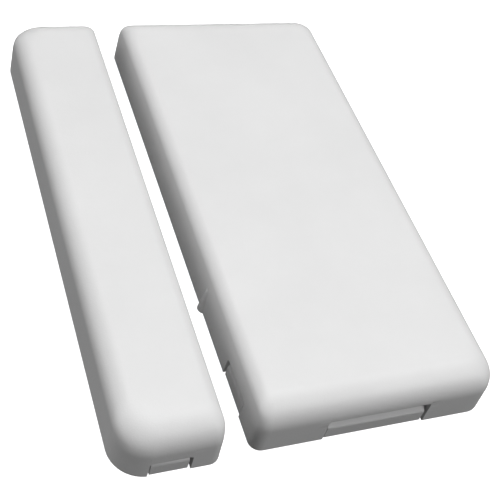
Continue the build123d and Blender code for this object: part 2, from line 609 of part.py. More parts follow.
with BuildPart() as crystal_base:
    with Locations(on_board(CRYSTAL)):
        Box(CRYSTAL[2], CRYSTAL[3], CRYSTAL[4] - LID, align=ON_FLOOR)

with BuildPart() as crystal_lid:
    with Locations(on_board(CRYSTAL) * Location((0, 0, CRYSTAL[4] - LID))):
        Box(CRYSTAL[2] - 2 * LID_SETBACK, CRYSTAL[3] - 2 * LID_SETBACK, LID, align=ON_FLOOR)

with BuildPart() as tank_capacitor:
    with Locations(on_board(TANK_CAPACITOR)):
        Box(TANK_CAPACITOR[2] - 2 * TANK_END, TANK_CAPACITOR[3], TANK_CAPACITOR[4], align=ON_FLOOR)

with BuildPart() as tank_capacitor_ends:
    with Locations(on_board(TANK_CAPACITOR)):
        with GridLocations(TANK_CAPACITOR[2] - TANK_END, 0, 2, 1):
            Box(TANK_END, TANK_CAPACITOR[3], TANK_CAPACITOR[4], align=ON_FLOOR)

with BuildPart() as chip_capacitors:
    for x, y, turn in CAPACITORS:
        with Locations(Location((x, y, BOARD_TOP), (0, 0, turn))):
            Box(CHIP_LENGTH - 2 * CHIP_END, CHIP_WIDTH, CAPACITOR_HEIGHT, align=ON_FLOOR)

with BuildPart() as chip_resistors:
    for x, y, turn in RESISTORS:
        with Locations(Location((x, y, BOARD_TOP), (0, 0, turn))):
            Box(CHIP_LENGTH - 2 * CHIP_END, CHIP_WIDTH, RESISTOR_HEIGHT, align=ON_FLOOR)

with BuildPart() as chip_ends:
    for places, height in ((CAPACITORS, CAPACITOR_HEIGHT), (RESISTORS, RESISTOR_HEIGHT)):
        for x, y, turn in places:
            with Locations(Location((x, y, BOARD_TOP), (0, 0, turn))):
                with GridLocations(CHIP_LENGTH - CHIP_END, 0, 2, 1):
                    Box(CHIP_END, CHIP_WIDTH, height, align=ON_FLOOR)

# Wound coil: its ends reach the board's top face
COIL_Z = BOARD_TOP + COIL_LIFT + COIL_RADIUS
COIL_START = COIL[0] - COIL_TURNS * COIL_PITCH / 2
with BuildPart() as matching_coil:
    with BuildLine() as winding:
        Helix(COIL_PITCH, COIL_TURNS * COIL_PITCH, COIL_RADIUS, center=(COIL_START, COIL[1], COIL_Z),
              direction=(1, 0, 0))
    with BuildSketch(Plane(origin=winding.line @ 0, z_dir=winding.line % 0)):
        Circle(COIL_WIRE)
    sweep(is_frenet=True)
    for along in (0, 1):
        end = winding.line @ along
        with Locations((end.X, end.Y, BOARD_TOP)):
            Cylinder(COIL_WIRE, end.Z - BOARD_TOP, align=ON_FLOOR)

with BuildPart() as antenna_wire:
    with BuildLine() as loop:
        FilletPolyline((*AERIAL_START, BOARD_UNDER - WIRE_TAIL),
                       (*AERIAL_START, AERIAL_Z),
                       (AERIAL_START[0], AERIAL_TURN_Y, AERIAL_Z),
                       (AERIAL_END[0], AERIAL_TURN_Y, AERIAL_Z),
                       (*AERIAL_END, AERIAL_Z),
                       (*AERIAL_END, BOARD_UNDER - WIRE_TAIL), radius=AERIAL_BEND)
    with BuildSketch(Plane(origin=loop.line @ 0, z_dir=loop.line % 0)):
        Circle(AERIAL_WIRE)
    sweep()

pieces = {
    "transmitter_base": transmitter_base,
    "transmitter_cover": transmitter_cover,
    "magnet_base": magnet_base,
    "magnet_cover": magnet_cover,
    "bar_magnet": bar_magnet,
    "circuit_board": circuit_board,
    "board_screws": board_screws,
    "coin_cell_can": coin_cell_can,
    "coin_cell_cap": coin_cell_cap,
    "coin_cell_seal": coin_cell_seal,
    "positive_contact": positive_contact,
    "negative_contact": negative_contact,
    "reed_glass": reed_glass,
    "reed_fixed_lead": reed_fixed_lead,
    "reed_far_lead": reed_far_lead,
    "reed_moving_blade": reed_moving_blade,
    "tamper_switch_body": tamper_switch_body,
    "tamper_terminals": tamper_terminals,
    "tamper_plunger": tamper_plunger,
    "tamper_spring": tamper_spring,
    "controller_body": controller_body,
    "controller_leads": controller_leads,
    "memory_body": memory_body,
    "memory_leads": memory_leads,
    "transistor_body": transistor_body,
    "transistor_leads": transistor_leads,
    "resonator_base": resonator_base,
    "resonator_lid": resonator_lid,
    "crystal_base": crystal_base,
    "crystal_lid": crystal_lid,
    "tank_capacitor": tank_capacitor,
    "tank_capacitor_ends": tank_capacitor_ends,
    "chip_capacitors": chip_capacitors,
    "chip_resistors": chip_resistors,
    "chip_ends": chip_ends,
    "matching_coil": matching_coil,
    "antenna_wire": antenna_wire,
}

os.makedirs("parts", exist_ok=True)
for name, piece in pieces.items():
    piece.part.label = name
    export_step(piece.part, f"parts/{name}.step")
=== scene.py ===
"""Looks for the door contact sensor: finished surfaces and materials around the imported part."""

from types import SimpleNamespace

import bmesh
import bpy
import numpy as np
from bpy.props import FloatProperty, FloatVectorProperty, IntProperty, PointerProperty
from mathutils import Euler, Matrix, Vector


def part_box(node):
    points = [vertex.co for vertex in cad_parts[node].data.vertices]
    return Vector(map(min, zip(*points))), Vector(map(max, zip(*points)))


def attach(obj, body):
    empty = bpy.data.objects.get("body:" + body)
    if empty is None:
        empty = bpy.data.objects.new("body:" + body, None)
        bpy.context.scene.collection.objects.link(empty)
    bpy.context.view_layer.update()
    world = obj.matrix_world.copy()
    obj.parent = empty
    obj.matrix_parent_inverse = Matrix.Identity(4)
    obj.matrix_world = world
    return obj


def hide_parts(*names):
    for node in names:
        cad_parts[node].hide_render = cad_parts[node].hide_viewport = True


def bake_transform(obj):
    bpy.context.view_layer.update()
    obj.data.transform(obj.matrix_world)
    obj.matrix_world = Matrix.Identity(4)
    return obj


bl_info = {
    "name": "Door Contact Sensor",
    "version": (1, 0, 0),
    "blender": (4, 5, 0),
    "location": "View3D > Sidebar > Sensor",
    "description": "Finishes the covers, bases, electronics and magnet of a door contact sensor",
    "category": "Object",
}

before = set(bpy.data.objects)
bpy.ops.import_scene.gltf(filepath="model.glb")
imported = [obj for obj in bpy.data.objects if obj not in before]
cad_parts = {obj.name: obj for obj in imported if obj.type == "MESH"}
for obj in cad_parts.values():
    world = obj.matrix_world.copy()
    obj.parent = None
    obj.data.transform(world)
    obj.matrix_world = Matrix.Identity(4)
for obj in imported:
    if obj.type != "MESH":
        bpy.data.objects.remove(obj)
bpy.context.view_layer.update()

MM = 0.001
NEAR, HIGH, FAR, LOW = range(4)  # a housing's walls, anticlockwise
MERGE, WELD = 5e-7, 2e-6  # metres; nearer points of a new piece, or of a CAD node, are one point
SHARP_ANGLE, BEVEL_ANGLE = np.radians(32), np.radians(40)
ARC_ENDS = 12  # degrees up a roof edge's arc where the even rows of the wall take over
ARC_REACH = 0.7  # share of a corner's arc past which a slot of the next wall may run into it
WALL_STEP, CORNER_ROOM = 1.38, 4.6  # between a plain wall's columns, and left free at its ends
BESIDE, CLEAR = 0.01, 0.2  # from a slot's side to the next column, and room without plain columns


# Mesh helpers


def new_object(name, points, faces):
    """A mesh object from an (n, 3) array of points in millimetres and a list of faces."""
    mesh = bpy.data.meshes.new(name)
    mesh.from_pydata((np.asarray(points, float) * MM).tolist(), [], faces)
    shape = bmesh.new()
    shape.from_mesh(mesh)
    bmesh.ops.remove_doubles(shape, verts=shape.verts, dist=MERGE)
    bmesh.ops.dissolve_degenerate(shape, edges=shape.edges, dist=MERGE)
    shape.to_mesh(mesh)
    shape.free()
    mesh.shade_smooth()
    mesh.set_sharp_from_angle(angle=SHARP_ANGLE)
    piece = bpy.data.objects.new(name, mesh)
    bpy.context.scene.collection.objects.link(piece)
    return piece


def grid_faces(rows, columns, around=True, ends=False, start=0):
    """Quads of a grid stored row by row; around joins its last column to its first, ends joins its
    last row to its first."""
    row = np.arange(rows if ends else rows - 1)[:, None]
    column = np.arange(columns if around else columns - 1)[None, :]
    next_row, next_column = (row + 1) % rows, (column + 1) % columns
    quads = np.stack(
        [row * columns + column, row * columns + next_column,
         next_row * columns + next_column, next_row * columns + column], axis=-1)
    return (quads.reshape(-1, 4) + start).tolist()


def capped(rows, columns):
    """Quads of a grid that goes round, with its first and its last row each closed as one face."""
    first = list(range(columns))[::-1]
    last = list(range((rows - 1) * columns, rows * columns))
    return [*grid_faces(rows, columns), first, last]


def join(*parts):
    """Several (points, faces) put one after another as one."""
    points, faces, count = [], [], 0
    for some_points, some_faces in parts:
        points.append(np.asarray(some_points, float))
        faces += [[index + count for index in face] for face in some_faces]
        count += len(some_points)
    return np.vstack(points), faces


def lathe(profile, centre, axis="Z", sides=48, ring=False):
    """A profile of (radius, height) turned about an axis through centre: each point goes round as
    radius times cosine and sine of the turn. Both its ends are closed flat, or a ring's ends meet."""
    profile = np.asarray(profile, float)
    turn = np.linspace(0, 2 * np.pi, sides, endpoint=False)
    radius, height = profile[:, 0][:, None], profile[:, 1][:, None]
    across, along = radius * np.cos(turn), radius * np.sin(turn)
    up = np.broadcast_to(height, across.shape)
    order = {"Z": (across, along, up), "Y": (along, up, across), "X": (up, across, along)}[axis]
    points = np.stack(order, axis=-1).reshape(-1, 3) + np.asarray(centre, float)
    if ring:
        return points, grid_faces(len(profile), sides, ends=True)
    return points, capped(len(profile), sides)


def tube(path, radius, sides=12):
    """A round wire along a path: at each point a circle stands square to the path, in a frame that is
    carried along with the least twist. Its ends are closed flat."""
    path = np.asarray(path, float)
    along = np.gradient(path, axis=0)
    along /= np.linalg.norm(along, axis=1)[:, None]
    first = np.cross(along[0], [0, 0, 1] if abs(along[0][2]) < 0.9 else [1, 0, 0])
    normals = [first / np.linalg.norm(first)]
    for step in along[1:]:
        carried = normals[-1] - step * np.dot(normals[-1], step)
        normals.append(carried / np.linalg.norm(carried))
    normal = np.array(normals)[:, None, :]
    side = np.cross(along, normal[:, 0])[:, None, :]
    turn = np.linspace(0, 2 * np.pi, sides, endpoint=False)[None, :, None]
    radius = np.broadcast_to(np.asarray(radius, float).reshape(-1, 1, 1), (len(path), 1, 1))
    points = path[:, None, :] + radius * (normal * np.cos(turn) + side * np.sin(turn))
    return points.reshape(-1, 3), capped(len(path), sides)


def rounded_block(centre, size, round_corner, steps=4):
    """A box with rounded edges all round, as a superposed sphere: every point of a sphere's grid is
    pushed out by half the box's size less the radius, along the signs of its own direction."""
    up = np.radians(np.r_[np.linspace(-90, 0, steps), np.linspace(0, 90, steps)])[:, None]
    quarter = np.linspace(0, 90, steps)
    turn = np.radians(np.concatenate([quarter, quarter + 90, quarter + 180, quarter + 270]))[None]
    sign_x = np.repeat([1, -1, -1, 1], steps)[None]
    sign_y = np.repeat([1, 1, -1, -1], steps)[None]
    sign_z = np.repeat([-1, 1], steps)[:, None]
    reach = np.asarray(size, float) / 2 - round_corner
    x = round_corner * np.cos(up) * np.cos(turn) + sign_x * reach[0]
    y = round_corner * np.cos(up) * np.sin(turn) + sign_y * reach[1]
    z = round_corner * np.sin(up) + 0 * turn + sign_z * reach[2]
    points = np.stack([x, y, z], axis=-1).reshape(-1, 3) + np.asarray(centre, float)
    return points, capped(2 * steps, 4 * steps)


def node_box(name):
    """The low and the high corner of a CAD node, in millimetres."""
    return (np.array(corner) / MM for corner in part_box(name))


def make(name, shape, body, material, slot, *replaced):
    """A new piece from its (points, faces), with its material, its body and the CAD nodes that it
    stands for; its slot is not used. A piece that is given no body is left unattached."""
    piece = new_object(name, *shape)
    piece.data.materials.append(bpy.data.materials[material])
    if body:
        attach(piece, body)
    if replaced:
        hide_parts(*replaced)
    return piece


def finish_nodes(material, bevel, *names):
    """Gives CAD nodes their material, and where bevel isn't nought a small round along their edges."""
    for name in names:
        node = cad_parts[name]
        node.data.materials.clear()
        node.data.materials.append(bpy.data.materials[material])
        node.modifiers.new("Weld", "WELD").merge_threshold = WELD
        if bevel:
            rounding = node.modifiers.new("Edges", "BEVEL")
            rounding.width = bevel * MM
            rounding.segments = 2
            rounding.limit_method = "ANGLE"
            rounding.angle_limit = BEVEL_ANGLE
        node.data.shade_smooth()
        smooth_by_angle(node)
        node.modifiers.new("Weighted normals", "WEIGHTED_NORMAL").keep_sharp = True


def smooth_by_angle(node):
    """Keeps edges sharper than the sharp angle as edges, in a small geometry node group."""
    tree = bpy.data.node_groups.get("Sharp edges")
    if tree is None:
        tree = bpy.data.node_groups.new("Sharp edges", "GeometryNodeTree")
        tree.interface.new_socket("Geometry", in_out="INPUT", socket_type="NodeSocketGeometry")
        tree.interface.new_socket("Geometry", in_out="OUTPUT", socket_type="NodeSocketGeometry")
        source, result = tree.nodes.new("NodeGroupInput"), tree.nodes.new("NodeGroupOutput")
        smooth = tree.nodes.new("GeometryNodeSetShadeSmooth")
        smooth.domain = "EDGE"
        angle = tree.nodes.new("GeometryNodeInputMeshEdgeAngle")
        below = tree.nodes.new("FunctionNodeCompare")
        below.operation = "LESS_EQUAL"
        below.inputs[1].default_value = SHARP_ANGLE
        tree.links.new(angle.outputs["Unsigned Angle"], below.inputs[0])
        tree.links.new(below.outputs[0], smooth.inputs["Shade Smooth"])
        tree.links.new(source.outputs[0], smooth.inputs["Geometry"])
        tree.links.new(smooth.outputs[0], result.inputs[0])
    node.modifiers.new("Sharp edges", "NODES").node_group = tree


def flipped(faces):
    """The faces turned over."""
    return [face[::-1] for face in faces]


def ribbon(path, width, z, thick=0.03):
    """A flat strip along a path: at each point its two sides stand half its width to either side,
    square to the mean of the runs that meet there, and it is closed above and below."""
    path = np.asarray(path, float)
    along = np.diff(path, axis=0)
    along /= np.linalg.norm(along, axis=1)[:, None]
    mean = np.vstack([along[:1], along[:-1] + along[1:], along[-1:]])
    mean /= np.linalg.norm(mean, axis=1)[:, None]
    square = np.c_[-mean[:, 1], mean[:, 0]]
    run = np.vstack([along, along[-1:]])
    reach = width / 2 / np.clip((mean * run).sum(axis=1), 0.5, 1)
    left, right = path + square * reach[:, None], path - square * reach[:, None]
    low, high = np.full((len(path), 1), z - thick / 2), np.full((len(path), 1), z + thick / 2)
    points = np.stack([np.c_[right, low], np.c_[right, high], np.c_[left, high], np.c_[left, low]],
                      axis=1)
    return points.reshape(-1, 3), flipped(capped(len(path), 4))


def bent_strip(x, corners, width, thick, bend, tip_round, dimple_y, dimple_radius, dimple_depth):
    """A sprung strip through corners of (y, z): straight runs joined by arcs of radius bend. Across
    it a grid runs from side to side, narrowing at the far end as a quarter circle at each corner,
    and a dimple is pressed through it as a cosine hump in the distance from the dimple's middle."""
    steps, far_steps, across_steps = 9, 90, 41
    corners = np.asarray(corners, float)
    path = [corners[:1] + (corners[1] - corners[0]) * np.linspace(0, 0.8, steps)[:, None]]
    for before, here, after in zip(corners[:-2], corners[1:-1], corners[2:]):
        inwards = (before - here) / np.linalg.norm(before - here)
        onwards = (after - here) / np.linalg.norm(after - here)
        turn = np.linspace(0, np.pi / 2, steps)[:, None]
        path.append(here + bend * (inwards * (1 - np.sin(turn)) + onwards * (1 - np.cos(turn))))
    last = corners[-2] + (corners[-1] - corners[-2]) * np.linspace(0.1, 1, far_steps)[:, None]
    path = np.vstack(path + [last])
    along = np.gradient(path, axis=0)
    along /= np.linalg.norm(along, axis=1)[:, None]
    square = np.c_[-along[:, 1], along[:, 0]]
    left = np.clip(np.linalg.norm(path - corners[-1], axis=1), 0, tip_round)
    half = width / 2 - tip_round + np.sqrt(tip_round**2 - (tip_round - left) ** 2)
    across = half[:, None] * np.linspace(-1, 1, across_steps)[None]
    away = np.hypot(across, (path[:, 0] - dimple_y)[:, None]) / dimple_radius
    far = np.arange(len(path))[:, None] >= len(path) - far_steps
    pressed = dimple_depth * 0.5 * (1 + np.cos(np.pi * np.clip(away, 0, 1))) * far
    faces = []
    for side in (-1, 1):
        y = path[:, :1] + square[:, :1] * side * thick / 2 + 0 * across
        z = path[:, 1:] + square[:, 1:] * side * thick / 2 + pressed
        faces.append(np.stack([x + across, y, z], axis=-1))
    sheet = np.concatenate([faces[0], faces[1][:, ::-1]], axis=1)
    return sheet.reshape(-1, 3), flipped(capped(*sheet.shape[:2]))


def pad(x, y, turned, z):
    """A low solder pad with rounded edges, its long side along Y, or along X if its chip is turned."""
    size = (1.35, 0.55) if turned else (0.55, 1.35)
    return rounded_block((x, y, z + 0.005), (*size, 0.07), 0.03, steps=3)


# Housing shape


class Housing:
    """A housing's plan and wall insets; the same rule as the solid it covers."""

    def __init__(self, settings, x, y, length, width, gap_side, outer_corner):
        self.settings, self.x, self.y = settings, x, y
        self.length, self.width = length, width
        self.gap_side, self.outer_corner = gap_side, outer_corner

    def inset(self, z, roof, edge):
        """How far in a wall is at height z: the draft's lean, then an arc that meets the roof flat."""
        draft = self.settings.draft
        middle = roof - edge
        start = middle + edge * np.sin(draft)
        arc = start * np.tan(draft) + edge * np.cos(draft) - np.sqrt(
            np.clip(edge**2 - (z - middle) ** 2, 0, None))
        return np.where(z <= start, z * np.tan(draft), arc)

    def columns(self, walls, arc_steps):
        """The outline's columns as (wall, is an arc, value) in order, anticlockwise from the near
        wall. walls gives the places of the columns along the near, high, far and low walls. Places
        on the near wall that pass the low side's corner go on its arc: the turn back from the arc's
        end is the arcsine of how far they pass it over the corner's radius."""
        radius = self.settings.gap_corner if self.gap_side < 0 else self.outer_corner
        past = self.x - self.width / 2 + radius - walls[NEAR]
        on_arc = 1 - np.arcsin(past[past > 0] / radius) / (np.pi / 2)
        walls = [walls[NEAR][past <= -BESIDE], *walls[1:]]
        listed = []
        for corner, places in enumerate(walls):
            turns = np.linspace(0, 1, arc_steps)
            if corner == LOW and len(on_arc):
                turns = np.r_[turns[turns < on_arc.min() - BESIDE], np.sort(on_arc), 1]
            listed += [(corner, 0, value) for value in places]
            listed += [(corner, 1, turn) for turn in turns]
        return np.array(listed)

    def surface(self, columns, z, skin, roof, edge_skin, out=0.0):
        """Points of the outline's columns at height z, skin inside the outer surface. On a wall a
        column keeps its place along it; on a corner it is the corner's radius times cosine and sine
        of its turn about the corner's middle. z and skin hold one value per row and column."""
        s = self.settings
        end, gap, side = (skin + self.inset(z, roof, max(edge - edge_skin, s.smallest_edge))
                          for edge in (s.end_edge, s.gap_edge, s.side_edge))
        low, high = (gap, side) if self.gap_side < 0 else (side, gap)
        gap_corner = np.maximum(s.gap_corner - skin - s.tightening * (gap - skin), s.smallest_corner)
        outer = np.maximum(self.outer_corner - skin - s.tightening * (side - skin), s.smallest_corner)
        low_corner, high_corner = (gap_corner, outer) if self.gap_side < 0 else (outer, gap_corner)
        x0, x1 = self.x - self.width / 2 + low, self.x + self.width / 2 - high
        y0, y1 = self.y - self.length / 2 + end, self.y + self.length / 2 - end
        wall, turned, value = columns[:, 0][None], columns[:, 1][None] > 0, columns[:, 2][None]
        near, high_wall, far = wall == NEAR, wall == HIGH, wall == FAR
        radius = np.where(near | high_wall, high_corner, low_corner)
        middle_x = np.where(near | high_wall, x1 - high_corner, x0 + low_corner)
        middle_y = np.where(near | (wall == LOW), y0 + radius, y1 - radius)
        angle = (wall - 1 + value) * np.pi / 2
        shape = np.broadcast_shapes(z.shape, value.shape)
        along_x = np.clip(value, x0 + low_corner, x1 - high_corner)
        corner = np.where(high_wall, high_corner, low_corner)
        along_y = np.clip(value, y0 + corner, y1 - corner)
        x = np.select([turned, near, high_wall, far],
                      [middle_x + radius * np.cos(angle), along_x, x1 + out, along_x], x0 - out)
        y = np.select([turned, near, high_wall, far],
                      [middle_y + radius * np.sin(angle), y0 - out, along_y, y1 + out], along_y)
        return np.stack([np.broadcast_to(x, shape), np.broadcast_to(y, shape),
                         np.broadcast_to(z, shape)], axis=-1)


def slot_columns(middle, width, round_corner):
    """Places along a wall that mark out a slot: both sides, and a quarter circle at each top corner."""
    side = round_corner * (1 - np.cos(np.linspace(0, np.pi / 2, 7)))
    low, high = middle - width / 2, middle + width / 2
    between = np.linspace(low + 1, high - 1, 5)
    return np.r_[low - BESIDE, low + side, between, high - side, high + BESIDE]


def rim_height(columns, plan, slots, round_corner):
    """The lower rim's height over each column: nought, and in a slot the slot's height less what a
    quarter circle takes off at its two top corners. plan is where each column stands at the rim."""
    rim = np.zeros(len(columns))
    for wall, middle, width, height in slots:
        along = plan[:, 0] if wall in (NEAR, FAR) else plan[:, 1]
        inside = width / 2 - np.abs(along - middle)
        depth = np.clip(inside, 0, round_corner)
        arch = height - round_corner + np.sqrt(round_corner**2 - (round_corner - depth) ** 2)
        late = columns[:, 2] > ARC_REACH
        before = (columns[:, 0] == (wall - 1) % 4) & (columns[:, 1] == 1) & late
        here = ((columns[:, 0] == wall) & (columns[:, 1] == 0) | before) & (inside > -1e-6)
        rim = np.where(here, arch, rim)
    return rim


def cover_shell(housing, slots, rib=None):
    """A cover as one closed surface: for each place round the outline the profile runs down the inner
    wall, round the rim and up the outer wall to the roof. slots are (wall, middle, width, height),
    and rib is the (wall, middle) of a rib that stands on it."""
    s = housing.settings
    walls = []
    for wall in range(4):
        middle, length = ((housing.x, housing.width) if wall in (NEAR, FAR) else
                          (housing.y, housing.length))
        half = length / 2 - CORNER_ROOM
        places = np.linspace(middle - half, middle + half, max(int(2 * half / WALL_STEP), 3))
        for slot_wall, slot_middle, width, _ in slots:
            if slot_wall == wall:
                clear = np.abs(places - slot_middle) > width / 2 + CLEAR
                places = np.r_[places[clear], slot_columns(slot_middle, width, s.slot_round)]
        if rib is not None and rib[0] == wall:
            clear = np.abs(places - rib[1]) > s.rib_radius + CLEAR
            over = s.rib_radius * np.sin(np.linspace(-1.6, 1.6, 33))
            beside = s.rib_radius + CLEAR / 2
            places = np.r_[places[clear], rib[1] + over, rib[1] - beside, rib[1] + beside]
        places = np.sort(places)
        walls.append(places if wall in (NEAR, HIGH) else places[::-1])
    columns = housing.columns(walls, s.corner_steps)
    flat = np.zeros((1, len(columns)))
    plan = housing.surface(columns, flat, flat, s.height, 0.0)[0]
    rim = rim_height(columns, plan, slots, s.slot_round)[None]

    def rows(roof, steps, edge):
        """Heights over the whole wall, from the roof down to just over the rim."""
        turns = np.radians(np.linspace(90, ARC_ENDS, steps))
        arc = (roof - edge + edge * np.sin(turns))[:, None] + 0 * rim
        fraction = np.linspace(0, 1, 19)[1:, None]
        straight = arc[-1:] + (rim + s.rim_round - arc[-1:]) * fraction
        return np.vstack([arc, straight])

    round_turn = np.radians(np.linspace(0, 90, 5))[1:, None]
    rounding = s.rim_round * (1 - np.cos(round_turn)) + 0 * rim
    rim_rows = rim + s.rim_round * (1 - np.sin(round_turn))
    ceiling = s.height - s.roof
    outer = rows(s.height, 29, s.end_edge)
    inner = rows(ceiling, 15, s.end_edge - s.wall)
    inside = np.vstack([inner[:1], inner, rim_rows])
    inside_skin = np.vstack([np.full_like(rim, s.wall + s.flat_ring), np.full_like(inner, s.wall),
                             s.wall - rounding])
    outside = np.vstack([rim_rows[::-1], outer[::-1], outer[:1]])
    outside_skin = np.vstack([rounding[::-1], np.zeros_like(outer), np.full_like(rim, s.flat_ring)])

    out = 0.0
    if rib is not None:
        # The rib is a standing cone: half is how far its round reaches over each column
        on_wall = (columns[:, 0] == rib[0]) & (columns[:, 1] == 0)
        away = np.where(on_wall, columns[:, 2] - rib[1], housing.length)
        radius = s.rib_radius - (s.rib_radius - s.rib_tip) * np.clip(outside / s.rib_top, 0, 1)
        half = np.sqrt(np.clip(radius**2 - away[None] ** 2, 0, None))
        reach = half + s.rib_stand - s.rib_radius + housing.inset(outside, s.height, s.gap_edge)
        out = np.where((half > 0) & (outside <= s.rib_top), np.clip(reach, 0, None), 0)

    points = np.concatenate([
        housing.surface(columns, inside, inside_skin, ceiling, s.wall),
        housing.surface(columns, outside, outside_skin, s.height, 0.0, out)])
    return points.reshape(-1, 3), capped(*points.shape[:2])


# Shader helpers


class Shader:
    """A node tree being written: node() adds a node with its values, link() joins two sockets."""

    def __init__(self, tree):
        self.tree = tree

    def node(self, kind, values=None, **settings):
        made = self.tree.nodes.new(kind)
        for key, value in settings.items():
            setattr(made, key, value)
        for key, value in (values or {}).items():
            made.inputs[key].default_value = value
        return made

    def link(self, source, target):
        self.tree.links.new(source, target)


def shader_group(name, inputs, outputs, build):
    """A node group made once. inputs and outputs are {name: socket kind}; build writes its inside."""
    tree = bpy.data.node_groups.get(name)
    if tree is None:
        tree = bpy.data.node_groups.new(name, "ShaderNodeTree")
        for title, kind in inputs.items():
            tree.interface.new_socket(title, in_out="INPUT", socket_type=kind)
        for title, kind in outputs.items():
            tree.interface.new_socket(title, in_out="OUTPUT", socket_type=kind)
        shader = Shader(tree)
        build(shader, shader.node("NodeGroupInput").outputs, shader.node("NodeGroupOutput").inputs)
    return tree


FLOAT, VECTOR = "NodeSocketFloat", "NodeSocketVector"
# Places of the colour sockets on a Mix node
MIX_A, MIX_B, MIX_RESULT = 6, 7, 2


def grain_group():
    """Moulding grain: fine noise over a coarser one, as a height."""
    def build(shader, given, result):
        fine = shader.node("ShaderNodeTexNoise", {"Detail": 3.0, "Roughness": 0.6})
        coarse = shader.node("ShaderNodeTexNoise", {"Detail": 2.0, "Roughness": 0.5})
        wide = shader.node("ShaderNodeMath", {1: 0.23}, operation="MULTIPLY")
        both = shader.node("ShaderNodeMath", {1: 0.55, 2: 0.0}, operation="MULTIPLY_ADD")
        for noise in (fine, coarse):
            shader.link(given["Place"], noise.inputs["Vector"])
        shader.link(given["Scale"], fine.inputs["Scale"])
        shader.link(given["Scale"], wide.inputs[0])
        shader.link(wide.outputs[0], coarse.inputs["Scale"])
        shader.link(coarse.outputs["Fac"], both.inputs[0])
        shader.link(fine.outputs["Fac"], both.inputs[2])
        shader.link(both.outputs[0], result["Height"])
    return shader_group("Moulding grain", {"Place": VECTOR, "Scale": FLOAT}, {"Height": FLOAT}, build)


def drift_group():
    """Slow unevenness over a surface: soft noise between two limits."""
    def build(shader, given, result):
        noise = shader.node("ShaderNodeTexNoise", {"Detail": 4.0, "Roughness": 0.55})
        spread = shader.node("ShaderNodeMapRange", {"From Min": 0.3, "From Max": 0.7})
        shader.link(given["Place"], noise.inputs["Vector"])
        shader.link(given["Scale"], noise.inputs["Scale"])
        shader.link(noise.outputs["Fac"], spread.inputs["Value"])
        shader.link(given["Low"], spread.inputs["To Min"])
        shader.link(given["High"], spread.inputs["To Max"])
        shader.link(spread.outputs["Result"], result["Value"])
    return shader_group("Slow drift", {"Place": VECTOR, "Scale": FLOAT, "Low": FLOAT, "High": FLOAT},
                        {"Value": FLOAT}, build)


def brush_group():
    """Brushed lines: noise stretched along one axis, as a height."""
    def build(shader, given, result):
        squeeze = shader.node("ShaderNodeVectorMath", operation="MULTIPLY")
        noise = shader.node("ShaderNodeTexNoise", {"Scale": 1.0, "Detail": 3.0, "Roughness": 0.65})
        shader.link(given["Place"], squeeze.inputs[0])
        shader.link(given["Stretch"], squeeze.inputs[1])
        shader.link(squeeze.outputs[0], noise.inputs["Vector"])
        shader.link(noise.outputs["Fac"], result["Height"])
    return shader_group("Brushed lines", {"Place": VECTOR, "Stretch": VECTOR}, {"Height": FLOAT}, build)


class Finish(Shader):
    """A material with one Principled shader, and its own Object coordinates to draw patterns from."""

    def __init__(self, name, shade, roughness, metallic=0.0, **sockets):
        material = bpy.data.materials.new(name)
        material.use_nodes = True
        super().__init__(material.node_tree)
        self.surface = self.tree.nodes["Principled BSDF"].inputs
        self.shade, self.roughness = tuple(shade), roughness
        self.surface["Base Color"].default_value = (*self.shade, 1)
        self.surface["Roughness"].default_value = roughness
        self.surface["Metallic"].default_value = metallic
        for key, value in sockets.items():
            self.surface[key.replace("_", " ")].default_value = value
        self.where = self.node("ShaderNodeTexCoord").outputs["Object"]

    def group(self, tree, values):
        """One of the node groups, with its values, reading the object's coordinates."""
        made = self.node("ShaderNodeGroup", node_tree=tree)
        for key, value in values.items():
            made.inputs[key].default_value = value
        self.link(self.where, made.inputs["Place"])
        return made.outputs[0]

    def bump(self, height, strength, depth):
        """A bump over the surface; depth is what a height of one stands for, in metres."""
        bump = self.node("ShaderNodeBump", {"Strength": strength, "Distance": depth})
        self.link(height, bump.inputs["Height"])
        self.link(bump.outputs["Normal"], self.surface["Normal"])

    def grain(self, scale, depth, strength=1.0):
        """A bump from the moulding grain."""
        self.bump(self.group(grain_group(), {"Scale": scale}), strength, depth)

    def drift(self, scale, low, high):
        """A slowly changing value between low and high."""
        return self.group(drift_group(), {"Scale": scale, "Low": low, "High": high})

    def tint(self, factor, dark, light):
        """Base colour between two colours."""
        mix = self.node("ShaderNodeMix", data_type="RGBA")
        mix.inputs[MIX_A].default_value = (*dark, 1)
        mix.inputs[MIX_B].default_value = (*light, 1)
        self.link(factor, mix.inputs["Factor"])
        self.link(mix.outputs[MIX_RESULT], self.surface["Base Color"])

    def uneven(self, scale, darkest, lightest, gloss_scale, spread):
        """Colour that drifts between two shares of itself, and roughness that drifts by spread."""
        self.tint(self.drift(scale, 0.0, 1.0), [c * darkest for c in self.shade],
                  [min(c * lightest, 1) for c in self.shade])
        self.link(self.drift(gloss_scale, self.roughness - spread, self.roughness + spread),
                  self.surface["Roughness"])


def satin_metal(name, shade, roughness, stretch=None, spread=0.04):
    """Metal with fine drawn or rolled lines, and a gloss that drifts."""
    metal = Finish(name, shade, roughness, metallic=1.0)
    if stretch is None:
        metal.grain(9000.0, 0.000002, 0.4)
    else:
        metal.bump(metal.group(brush_group(), {"Stretch": stretch}), 0.25, 0.000002)
    metal.uneven(240.0, 0.95, 1.03, 420.0, spread)


def moulded(name, shade, roughness, shift=0.12):
    """Moulded resin, ceramic or lacquer: grain, and a colour that drifts by a share of itself."""
    resin = Finish(name, shade, roughness)
    resin.grain(7000.0, 0.000008)
    resin.uneven(600.0, 1 - shift, 1 + shift / 2, 900.0, 0.04)


